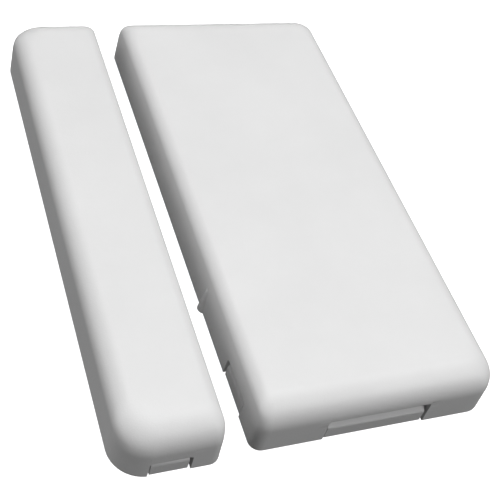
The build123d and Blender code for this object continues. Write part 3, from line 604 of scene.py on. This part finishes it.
def satin_plastic(name, shade, roughness):
    """Satin moulded plastic: a fine spark-eroded grain, and colour and gloss that drift a little."""
    plastic = Finish(name, shade, roughness)
    plastic.grain(5200.0, 0.000013)
    plastic.uneven(90.0, 0.975, 1.012, 260.0, 0.035)


def pressed_ferrite(name, shade, roughness):
    """Pressed ferrite: near-black, with a sparkle of paler grains set by a fine cell pattern."""
    ferrite = Finish(name, shade, roughness)
    cells = ferrite.node("ShaderNodeTexVoronoi", {"Scale": 6500.0})
    ferrite.link(ferrite.where, cells.inputs["Vector"])
    ramp = ferrite.node("ShaderNodeValToRGB")
    for element, place, grey in zip(ramp.color_ramp.elements, (0.05, 0.22), (1, 0)):
        element.position = place
        element.color = (grey, grey, grey, 1)
    ferrite.link(cells.outputs["Distance"], ramp.inputs["Fac"])
    ferrite.tint(ramp.outputs["Color"], ferrite.shade, [c * 2.6 for c in ferrite.shade])
    ferrite.grain(3800.0, 0.00003)


def solder_mask(name, shade, paler):
    """Lacquered board: green mask over a faint weave of glass cloth, two sets of crossing waves that
    make the colour up to paler times as light."""
    mask = Finish(name, shade, 0.33, Coat_Weight=0.35, Coat_Roughness=0.12)
    cloth = mask.node("ShaderNodeMath", operation="MULTIPLY")
    for axis, socket in (("X", 0), ("Y", 1)):
        wave = mask.node("ShaderNodeTexWave", {"Scale": 900.0, "Distortion": 0.4},
                         bands_direction=axis)
        mask.link(mask.where, wave.inputs["Vector"])
        mask.link(wave.outputs["Fac"], cloth.inputs[socket])
    mask.bump(cloth.outputs[0], 0.35, 0.000006)
    mask.tint(cloth.outputs[0], mask.shade, [c * paler for c in mask.shade])


# Settings


def in_millimetres(group):
    """A property group as plain values, its lengths in millimetres."""
    values = {}
    for key, prop in group.bl_rna.properties.items():
        if key not in ("rna_type", "name"):
            value = getattr(group, key)
            value = np.array(value) if getattr(prop, "is_array", False) else value
            values[key] = value / MM if prop.unit == "LENGTH" else value
    return SimpleNamespace(**values)


def length(name, millimetres, description):
    """A length property whose default is given in millimetres."""
    return FloatProperty(name=name, description=description, default=millimetres * MM, min=0,
                         unit="LENGTH", precision=5)


def colour(name, value, description):
    """A colour property."""
    return FloatVectorProperty(name=name, description=description, default=value, min=0, max=1,
                               size=3, subtype="COLOR")


def amount(name, value, description):
    """A share from nought to one."""
    return FloatProperty(name=name, description=description, default=value, min=0, max=1,
                         subtype="FACTOR")


def number(name, value, description):
    """A plain number, nought or more."""
    return FloatProperty(name=name, description=description, default=value, min=0)


class CoverSettings(bpy.types.PropertyGroup):
    """Sizes of the two covers."""

    height: length("Height", 7.2, "Outside height of both housings")
    wall: length("Wall", 1.2, "Thickness of the covers' walls")
    roof: length("Roof", 1.1, "Thickness of the covers' roofs")
    draft: FloatProperty(name="Draft", description="Lean of every wall", default=np.radians(2.4),
                         subtype="ANGLE", unit="ROTATION")
    gap_edge: length("Gap edge", 1.7, "Radius of the roof edge along the gap")
    side_edge: length("Side edge", 2.4, "Radius of the roof edge along the outer side")
    end_edge: length("End edge", 3.6, "Radius of the roof edge along both ends")
    gap_corner: length("Gap corner", 1.5, "Plan radius of the corners beside the gap")
    transmitter_corner: length("Transmitter corner", 2.5, "Plan radius of its outer corners")
    magnet_corner: length("Magnet corner", 4.1, "Plan radius of the magnet unit's outer corners")
    tightening: amount("Tightening", 0.3, "Share of a wall's inset taken off the corner radius")
    smallest_corner: length("Smallest corner", 0.4, "Corner radius is never less")
    smallest_edge: length("Smallest edge", 0.5, "Roof edge radius is never less")
    rim_round: length("Rim round", 0.12, "Rounding of the lower rim and of the slots' edges")
    slot_round: length("Slot corner", 0.35, "Rounding of the slots' top corners")
    flat_ring: length("Flat ring", 0.15, "Flat band that ends the roof edge's smooth shading")
    rib_radius: length("Rib radius", 0.8, "Radius of the alignment rib")
    rib_stand: length("Rib stand", 0.5, "How far the rib stands out at the rim")
    rib_tip: length("Rib tip", 0.3, "Radius of the rib's top")
    rib_top: length("Rib top", 3.8, "Height of the rib's top")
    corner_steps: IntProperty(name="Corner steps", description="Steps round each corner", default=13,
                              min=4, max=40)
    plastic: colour("Cover plastic", (0.80, 0.80, 0.80), "Colour of the covers")
    roughness: amount("Cover roughness", 0.46, "Roughness of the covers' satin finish")


class FinishSettings(bpy.types.PropertyGroup):
    """Colours of the pieces under the covers."""

    ferrite: colour("Ferrite", (0.035, 0.034, 0.036), "Bar magnet")
    board: colour("Solder mask", (0.012, 0.115, 0.048), "Board's lacquer")
    track: colour("Tracks", (0.030, 0.200, 0.085), "Lacquer where copper lies under it")
    steel: colour("Steel", (0.66, 0.65, 0.63), "Screws, cell and lids")
    nickel: colour("Nickel", (0.70, 0.67, 0.60), "Cell contacts and spring")
    tin: colour("Tin", (0.72, 0.72, 0.72), "Solder, leads and wires")
    copper: colour("Copper", (0.83, 0.40, 0.22), "Antenna and coil")
    gold: colour("Gold", (0.86, 0.66, 0.32), "Resonator's lid")
    resin: colour("Black resin", (0.018, 0.018, 0.020), "Chip bodies")
    ceramic: colour("Ceramic", (0.20, 0.15, 0.11), "Bases of crystal and resonator")
    tantalum: colour("Tantalum", (0.80, 0.42, 0.05), "Tank capacitor")
    tan: colour("Chip tan", (0.36, 0.22, 0.12), "Chip capacitors")
    plunger: colour("Plunger", (0.72, 0.70, 0.66), "Tamper switch's plunger")
    glass: colour("Glass", (0.80, 0.93, 0.84), "Reed switch's glass")
    seal: colour("Gasket", (0.06, 0.06, 0.065), "Coin cell's seal")


class StageSettings(bpy.types.PropertyGroup):
    """Camera, lights and floor."""

    camera_place: FloatVectorProperty(name="Camera place", description="Where the camera stands",
                                      default=(-0.053591, -0.079866, 0.095976), size=3,
                                      subtype="TRANSLATION", unit="LENGTH", precision=5)
    camera_turn: FloatVectorProperty(name="Camera turn", description="Its turn about X, Y and Z",
                                     default=tuple(np.radians((40.779, -12.806, -18.249))), size=3,
                                     subtype="EULER", unit="ROTATION")
    camera_lens: number("Lens", 69.869, "Focal length in millimetres")
    floor_size: length("Floor size", 4000.0, "Side of the square floor")
    floor_glow: number("Floor glow", 1.0, "Brightness of the floor")
    world_light: number("World light", 0.05, "Strength of the light from all sides")
    top_light: number("Top light", 2.95, "Power of the overhead panel in watts")
    near_light: number("Near light", 5.20, "Power of the near panel in watts")
    left_light: number("Left light", 5.30, "Power of the left panel in watts")


# Covers

TRANSMITTER_SIZE = (70.0, 31.5)  # length and width
MAGNET_SIZE = (70.5, 12.5)
GAP = 3.6
MAGNET_SHIFT = 0.25
MARK_Y = -14.5  # the alignment rib, level with the reed switch
END_SLOT, SIDE_SLOT, MAGNET_SLOT = (13.5, 3.6), (6.2, 2.7), (5.0, 2.5)  # width and height
SIDE_SLOT_Y = -27.1
INTO_ROOF = 0.3  # how far what hangs from a roof reaches into it
POST_Y, POST_RADIUS, POST_BOTTOM = MARK_Y - 12.7, 1.2, 5.41
HOLD_DOWN_WIDTH, HOLD_DOWN_THICK, HOLD_DOWN_BOTTOM, HOLD_DOWN_AWAY = 5.0, 0.8, 5.35, 7.0


def housings(s):
    """The two housings: the transmitter's stands on the origin, the magnet's beside it past the gap."""
    magnet_x = -TRANSMITTER_SIZE[1] / 2 - GAP - MAGNET_SIZE[1] / 2
    return (Housing(s, 0, 0, *TRANSMITTER_SIZE, -1, s.transmitter_corner),
            Housing(s, magnet_x, -MAGNET_SHIFT, *MAGNET_SIZE, 1, s.magnet_corner))


# Board: the middle of each chip with solder pads, and whether it is turned to lie along Y
CHIPS = [(6.6, -12.6, False), (9.9, -13.4, False), (1.6, -16.2, False), (-7.9, 2.8, False),
         (8.6, 5.4, False), (-3.4, -14.6, False), (1.9, -22.6, False), (5.6, -2.6, False),
         (-4.6, -5.4, False), (-7.2, -22.8, True), (-1.0, -1.0, True), (-7.2, -18.6, True),
         (-7.0, -9.6, True), (-7.0, -13.2, True), (1.2, 1.4, True)]
PAD_AWAY = 0.9  # of a pad's middle, from its chip's
PADS = [(x + side * PAD_AWAY * (not turned), y + side * PAD_AWAY * turned, turned)
        for x, y, turned in CHIPS for side in (-1, 1)]
# Through-plated holes, and soldered wires with each wire's radius
VIAS = [(-9.2, -16.0), (-9.4, -11.6), (-4.6, -11.8), (-5.0, -17.0), (-0.2, -13.9), (3.8, -14.0),
        (5.9, -16.2), (11.2, -7.6), (6.8, -7.4), (6.6, 0.6), (3.4, 4.0), (-3.0, 3.4), (-2.4, -23.8),
        (4.0, -19.6), (10.9, -15.6), (-9.4, -3.0), (-8.9, -7.4), (-0.6, 5.6), (11.4, 4.4)]
SOLDERED = [(-11.3, -23.5, 0.25), (-11.3, -5.5, 0.25), (12.1, -12.0, 0.40), (9.1, 7.1, 0.40)]
# Radii and heights of a hole's copper ring, and of the solder round a wire
VIA_RING = [(0.14, 0), (0.30, 0), (0.30, 0.015), (0.14, 0.015)]
FILLET = [(0.85, 0), (0.85, 0.03), (0.62, 0.08), (0.46, 0.20), (0.38, 0.40)]
# Copper tracks under the lacquer: width, and the points that each goes through
TRACKS = [
    (0.35, [(-11.3, -23.5), (-10.3, -22.5), (-10.3, -20.4), (-9.4, -19.5), (-7.2, -19.5)]),
    (0.35, [(-11.3, -5.5), (-10.2, -6.6), (-10.2, -9.3), (-9.0, -10.5), (-7.0, -10.5)]),
    (0.25, [(-7.0, -8.7), (-5.6, -8.7), (-5.1, -9.2), (-1.9, -9.2)]),
    (0.25, [(-7.0, -12.3), (-5.4, -12.3), (-4.6, -11.5), (-1.9, -11.5)]),
    (0.25, [(-7.0, -14.1), (-8.3, -14.1), (-9.2, -15.0), (-9.2, -16.0)]),
    (0.25, [(-7.2, -17.7), (-6.5, -17.0), (-5.0, -17.0)]),
    (0.25, [(-2.5, -14.6), (-1.3, -14.6), (-0.6, -13.9), (-0.2, -13.9)]),
    (0.25, [(4.7, -9.8), (5.4, -10.5), (5.4, -11.9), (5.7, -12.6)]),
    (0.25, [(4.7, -7.2), (6.0, -7.2), (6.8, -7.4)]),
    (0.25, [(4.7, -6.0), (5.6, -5.1), (5.6, -3.4), (4.7, -2.6)]),
    (0.50, [(7.5, -12.6), (8.2, -12.6), (9.0, -13.4)]),
    (0.50, [(10.8, -13.4), (11.4, -12.8), (12.1, -12.0)]),
    (0.60, [(10.8, -5.2), (11.8, -4.2), (11.8, 0.4), (10.9, 1.6)]),
    (0.60, [(9.5, 5.4), (9.9, 6.2), (9.1, 7.1)]),
    (0.60, [(7.9, 1.6), (6.6, 2.9), (6.6, 4.7), (7.7, 5.4)]),
    (0.35, [(1.2, 2.3), (1.2, 3.3), (1.9, 4.0), (3.4, 4.0)]),
    (0.35, [(-1.0, -1.9), (0.2, -3.1), (0.2, -4.4)]),
    (0.35, [(1.2, 0.5), (0.4, -0.1), (-1.0, -0.1)]),
    (0.25, [(-5.2, -3.3), (-4.6, -4.0), (-3.7, -5.4)]),
    (0.25, [(-5.5, -5.4), (-7.6, -5.4), (-8.9, -6.7), (-8.9, -7.4)]),
    (0.35, [(-7.0, 2.8), (-5.4, 4.4), (-3.9, 4.4), (-3.0, 3.4)]),
    (0.35, [(-8.8, 2.8), (-9.4, 2.2), (-9.4, -3.0)]),
    (0.25, [(2.8, -22.6), (4.0, -21.4), (4.0, -19.6)]),
    (0.25, [(1.0, -22.6), (-0.2, -22.6), (-1.4, -23.8), (-2.4, -23.8)]),
    (0.35, [(2.5, -16.2), (5.9, -16.2)]),
    (0.35, [(0.7, -16.2), (-0.6, -16.2), (-1.2, -16.8)]),
    (0.50, [(8.2, -15.9), (9.6, -14.9), (10.9, -15.6)]),
]


class SENSOR_OT_materials(bpy.types.Operator):
    """Makes every finish that the pieces use"""

    bl_idname = "sensor.materials"
    bl_label = "Materials"

    def execute(self, context):
        s = context.scene.sensor_covers
        satin_plastic("Cover plastic", s.plastic, s.roughness)
        satin_plastic("Base plastic", [c * 0.97 for c in s.plastic], s.roughness + 0.04)
        f = context.scene.sensor_finishes
        pressed_ferrite("Ferrite", f.ferrite, 0.55)
        solder_mask("Board lacquer", f.board, 1.5)
        solder_mask("Track lacquer", f.track, 1.3)
        satin_metal("Screw steel", f.steel, 0.30)
        satin_metal("Cell steel", f.steel, 0.27, stretch=(400.0, 9000.0, 9000.0), spread=0.02)
        satin_metal("Lid steel", f.steel, 0.22, stretch=(9000.0, 600.0, 9000.0))
        satin_metal("Spring strip", f.nickel, 0.26, stretch=(9000.0, 500.0, 9000.0))
        satin_metal("Tinned wire", f.tin, 0.28)
        satin_metal("Solder", f.tin, 0.20)
        satin_metal("Copper wire", f.copper, 0.24)
        satin_metal("Lid gold", f.gold, 0.22)
        moulded("Black resin", f.resin, 0.48)
        moulded("Gasket", f.seal, 0.60)
        moulded("Chip ceramic", f.ceramic, 0.50)
        moulded("Tantalum resin", f.tantalum, 0.42, shift=0.08)
        moulded("Chip tan", f.tan, 0.36, shift=0.10)
        moulded("Plunger plastic", f.plunger, 0.40, shift=0.04)
        Finish("Reed glass", f.glass, 0.03, Transmission_Weight=1.0, IOR=1.50)
        return {"FINISHED"}


class SENSOR_OT_covers(bpy.types.Operator):
    """Makes both covers as thin shells with their slots, rib, post and hold-down ribs"""

    bl_idname = "sensor.covers"
    bl_label = "Covers"

    def execute(self, context):
        s = in_millimetres(context.scene.sensor_covers)
        transmitter, magnet = housings(s)
        into_roof = s.height - s.roof + INTO_ROOF
        shell = cover_shell(transmitter, [(NEAR, 0, *END_SLOT), (LOW, SIDE_SLOT_Y, *SIDE_SLOT)],
                            (LOW, MARK_Y))
        post = lathe([(POST_RADIUS - 0.1, POST_BOTTOM), (POST_RADIUS - 0.03, POST_BOTTOM + 0.04),
                      (POST_RADIUS, POST_BOTTOM + 0.12), (POST_RADIUS, into_roof)],
                     (0, POST_Y, 0), sides=40)
        make("Transmitter_cover", join(shell, post), "transmitter_lid", "Cover plastic",
             "white_cover", "transmitter_cover")
        middle, tall = (HOLD_DOWN_BOTTOM + into_roof) / 2, into_roof - HOLD_DOWN_BOTTOM
        ribs = [rounded_block((magnet.x, MARK_Y + away, middle),
                              (HOLD_DOWN_WIDTH, HOLD_DOWN_THICK, tall), 0.15)
                for away in (-HOLD_DOWN_AWAY, HOLD_DOWN_AWAY)]
        shell = cover_shell(magnet, [(NEAR, magnet.x, *MAGNET_SLOT)])
        make("Magnet_cover", join(shell, *ribs), "magnet_lid", "Cover plastic", "white_cover",
             "magnet_cover")
        return {"FINISHED"}


class SENSOR_OT_bases(bpy.types.Operator):
    """Finishes both bases, with softened edges"""

    bl_idname = "sensor.bases"
    bl_label = "Bases"

    def execute(self, context):
        finish_nodes("Base plastic", 0.10, "transmitter_base", "magnet_base")
        return {"FINISHED"}


class SENSOR_OT_magnet(bpy.types.Operator):
    """Finishes the bar magnet"""

    bl_idname = "sensor.magnet"
    bl_label = "Bar magnet"

    def execute(self, context):
        finish_nodes("Ferrite", 0.08, "bar_magnet")
        return {"FINISHED"}


class SENSOR_OT_board(bpy.types.Operator):
    """Finishes the board and its screws, and lays its tracks, pads and solder"""

    bl_idname = "sensor.board"
    bl_label = "Circuit board"

    def execute(self, context):
        finish_nodes("Board lacquer", 0.0, "circuit_board")
        finish_nodes("Screw steel", 0.08, "board_screws")
        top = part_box("circuit_board")[1][2] / MM
        tracks = join(*[ribbon(path, width, top) for width, path in TRACKS])
        make("Board_tracks", tracks, "transmitter", "Track lacquer", "board_green")
        rings = [lathe(VIA_RING, (x, y, top), sides=24, ring=True) for x, y in VIAS]
        pads = [pad(x, y, turned, top) for x, y, turned in PADS]
        make("Board_pads", join(*rings, *pads), "transmitter", "Solder", "tinned_wire")
        fillets = join(*[lathe([*FILLET, (wire - 0.02, 0.60)], (x, y, top), sides=32)
                         for x, y, wire in SOLDERED])
        make("Solder_fillets", fillets, "transmitter", "Solder", "tinned_wire")
        return {"FINISHED"}


class SENSOR_OT_chips(bpy.types.Operator):
    """Finishes the surface-mounted pieces"""

    bl_idname = "sensor.chips"
    bl_label = "Chips"

    def execute(self, context):
        finish_nodes("Black resin", 0.07, "controller_body", "memory_body", "transistor_body",
                     "chip_resistors")
        finish_nodes("Black resin", 0.0, "tamper_switch_body")
        finish_nodes("Tinned wire", 0.03, "controller_leads", "memory_leads", "transistor_leads",
                     "tank_capacitor_ends", "chip_ends", "tamper_terminals")
        finish_nodes("Chip ceramic", 0.06, "resonator_base", "crystal_base")
        finish_nodes("Lid gold", 0.08, "resonator_lid")
        finish_nodes("Lid steel", 0.08, "crystal_lid")
        finish_nodes("Tantalum resin", 0.10, "tank_capacitor")
        finish_nodes("Chip tan", 0.06, "chip_capacitors")
        marks = []
        for name, inwards in (("controller_body", 0.9), ("memory_body", 0.75)):
            low, high = node_box(name)
            marks.append(lathe([(0.28, 0), (0.28, 0.012), (0.25, 0.02)],
                               (low[0] + inwards, high[1] - inwards, high[2]), sides=28))
        make("Pin_marks", join(*marks), "transmitter", "Gasket", "black_plastic")
        return {"FINISHED"}


class SENSOR_OT_cell(bpy.types.Operator):
    """Finishes the coin cell and its two spring contacts"""

    bl_idname = "sensor.cell"
    bl_label = "Coin cell"

    def execute(self, context):
        finish_nodes("Cell steel", 0.05, "coin_cell_can", "coin_cell_cap")
        finish_nodes("Gasket", 0.0, "coin_cell_seal")
        cell = sum(node_box("coin_cell_can")) / 2
        riser = 8.65
        # Heights of each contact's foot and arm, and how deep its dimple is
        for name, foot, arm, dimple in (("positive_contact", 3.15, 5.10, -0.10),
                                        ("negative_contact", 2.05, 1.35, 0.15)):
            low, high = node_box(name)
            corners = [(low[1], foot), (riser, foot), (riser, arm), (high[1], arm)]
            strip = bent_strip((low[0] + high[0]) / 2, corners, width=high[0] - low[0], thick=0.3,
                               bend=0.33, tip_round=1.2, dimple_y=cell[1], dimple_radius=0.9,
                               dimple_depth=dimple)
            make(name.capitalize(), strip, "transmitter", "Spring strip", "spring_strip", name)
        return {"FINISHED"}


class SENSOR_OT_reed(bpy.types.Operator):
    """Makes the reed switch's glass, and finishes its leads and blades"""

    bl_idname = "sensor.reed"
    bl_label = "Reed switch"

    def execute(self, context):
        low, high = node_box("reed_glass")
        middle, half = (low + high) / 2, (high[1] - low[1]) / 2
        radius, bore, seal, nose = 1.1, 0.8, 1.6, 0.5
        turn = np.radians(np.linspace(0, 90, 8))
        tip = np.c_[radius - nose + nose * np.sin(turn), -half + nose - nose * np.cos(turn)]
        outer = lathe(np.vstack([tip, tip[::-1] * [1, -1]]), middle, axis="Y")
        tip = np.c_[bore * np.sin(turn), seal - half + 0.5 * bore * (1 - np.cos(turn))][1:]
        hollow, faces = lathe(np.vstack([tip, tip[::-1] * [1, -1]]), middle, axis="Y", sides=32)
        make("Reed_glass", join(outer, (hollow, flipped(faces))), "transmitter", "Reed glass",
             "reed_glass", "reed_glass")
        finish_nodes("Tinned wire", 0.02, "reed_fixed_lead", "reed_far_lead", "reed_moving_blade")
        return {"FINISHED"}


class SENSOR_OT_tamper(bpy.types.Operator):
    """Finishes the tamper switch's plunger and winds its coil spring"""

    bl_idname = "sensor.tamper"
    bl_label = "Tamper switch"

    def execute(self, context):
        finish_nodes("Plunger plastic", 0.05, "tamper_plunger")
        low, high = node_box("tamper_spring")
        middle, wire, turns, flat = (low + high) / 2, 0.06, 3.5, 0.18
        turn = np.linspace(0, turns * 2 * np.pi, 170)
        radius = (high[0] - low[0]) / 2 - wire
        # Flat is the share of the rise that each end winds level for
        rise = np.clip(np.linspace(-flat, 1 + flat, len(turn)), 0, 1)
        path = np.c_[middle[0] + radius * np.cos(turn), middle[1] + radius * np.sin(turn),
                     low[2] + wire + (high[2] - low[2] - 2 * wire) * rise]
        spring = make("Tamper_spring", tube(path, wire, sides=10), None, "Spring strip",
                      "spring_strip", "tamper_spring")
        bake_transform(spring)
        return {"FINISHED"}


class SENSOR_OT_wires(bpy.types.Operator):
    """Finishes the loop antenna and its matching coil"""

    bl_idname = "sensor.wires"
    bl_label = "Antenna and coil"

    def execute(self, context):
        finish_nodes("Copper wire", 0.0, "antenna_wire", "matching_coil")
        return {"FINISHED"}


class SENSOR_OT_stage(bpy.types.Operator):
    """Makes the floor, the world, the lights and the camera"""

    bl_idname = "sensor.stage"
    bl_label = "Stage"

    def execute(self, context):
        s = context.scene.sensor_stage
        scene = context.scene
        half, below = s.floor_size / 2 / MM, -0.02
        corners = [(x, y, below) for x, y in ((-half, -half), (half, -half), (half, half), (-half, half))]
        floor = new_object("Floor", corners, [(0, 1, 2, 3)])
        Finish("Floor", (0.9, 0.9, 0.9), 0.9, Emission_Color=(1, 1, 1, 1),
               Emission_Strength=s.floor_glow)
        floor.data.materials.append(bpy.data.materials["Floor"])
        floor.visible_diffuse = False
        floor.visible_glossy = False

        world = bpy.data.worlds.new("Soft studio")
        world.use_nodes = True
        sky = Shader(world.node_tree)
        dim = sky.tree.nodes["Background"]
        dim.inputs["Color"].default_value = (1, 1, 1, 1)
        dim.inputs["Strength"].default_value = s.world_light
        # Seen straight on, the room is as pale as the floor; as a light it is dim
        pale = sky.node("ShaderNodeBackground", {"Color": (1, 1, 1, 1), "Strength": s.floor_glow})
        either = sky.node("ShaderNodeMixShader")
        sky.link(sky.node("ShaderNodeLightPath").outputs["Is Camera Ray"], either.inputs["Fac"])
        sky.link(dim.outputs[0], either.inputs[1])
        sky.link(pale.outputs[0], either.inputs[2])
        sky.link(either.outputs[0], sky.tree.nodes["World Output"].inputs["Surface"])
        scene.world = world

        # Where each panel stands, its side and its power; all face the middle of the transmitter
        for name, at, size, power in (("Overhead panel", (0.09, 0.09, 0.6), 0.5, s.top_light),
                                      ("Near panel", (0.60, -0.78, 0.80), 0.55, s.near_light),
                                      ("Left panel", (-1.20, 0.30, 0.56), 0.8, s.left_light)):
            lamp = bpy.data.lights.new(name, "AREA")
            lamp.shape = "SQUARE"
            lamp.size = size
            lamp.energy = power
            panel = bpy.data.objects.new(name, lamp)
            panel.location = at
            panel.rotation_euler = (-Vector(at)).to_track_quat("-Z", "Y").to_euler()
            scene.collection.objects.link(panel)

        lens = bpy.data.cameras.new("Camera")
        lens.lens = s.camera_lens
        lens.sensor_width = 36.0
        lens.clip_start = 0.001
        camera = bpy.data.objects.new("Camera", lens)
        camera.location = s.camera_place
        camera.rotation_euler = Euler(s.camera_turn, "XYZ")
        scene.collection.objects.link(camera)
        scene.camera = camera
        scene.view_settings.view_transform = "Standard"
        return {"FINISHED"}


OPERATORS = (SENSOR_OT_materials, SENSOR_OT_covers, SENSOR_OT_bases, SENSOR_OT_magnet,
             SENSOR_OT_board, SENSOR_OT_chips, SENSOR_OT_cell, SENSOR_OT_reed, SENSOR_OT_tamper,
             SENSOR_OT_wires, SENSOR_OT_stage)


class SENSOR_PT_panel(bpy.types.Panel):
    """The sensor's operators, in the order that they run in"""

    bl_idname = "SENSOR_PT_panel"
    bl_label = "Door contact sensor"
    bl_space_type = "VIEW_3D"
    bl_region_type = "UI"
    bl_category = "Sensor"

    def draw(self, context):
        for operator in OPERATORS:
            self.layout.operator(operator.bl_idname)


SETTINGS = {"sensor_covers": CoverSettings, "sensor_finishes": FinishSettings,
            "sensor_stage": StageSettings}
CLASSES = (*SETTINGS.values(), *OPERATORS, SENSOR_PT_panel)


def register():
    for some_class in CLASSES:
        bpy.utils.register_class(some_class)
    for name, group in SETTINGS.items():
        setattr(bpy.types.Scene, name, PointerProperty(type=group))


def unregister():
    for name in SETTINGS:
        delattr(bpy.types.Scene, name)
    for some_class in reversed(CLASSES):
        bpy.utils.unregister_class(some_class)


def main():
    register()
    bpy.ops.sensor.materials()
    bpy.ops.sensor.covers()
    bpy.ops.sensor.bases()
    bpy.ops.sensor.magnet()
    bpy.ops.sensor.board()
    bpy.ops.sensor.chips()
    bpy.ops.sensor.cell()
    bpy.ops.sensor.reed()
    bpy.ops.sensor.tamper()
    bpy.ops.sensor.wires()
    bpy.ops.sensor.stage()


if __name__ == "__main__":
    main()
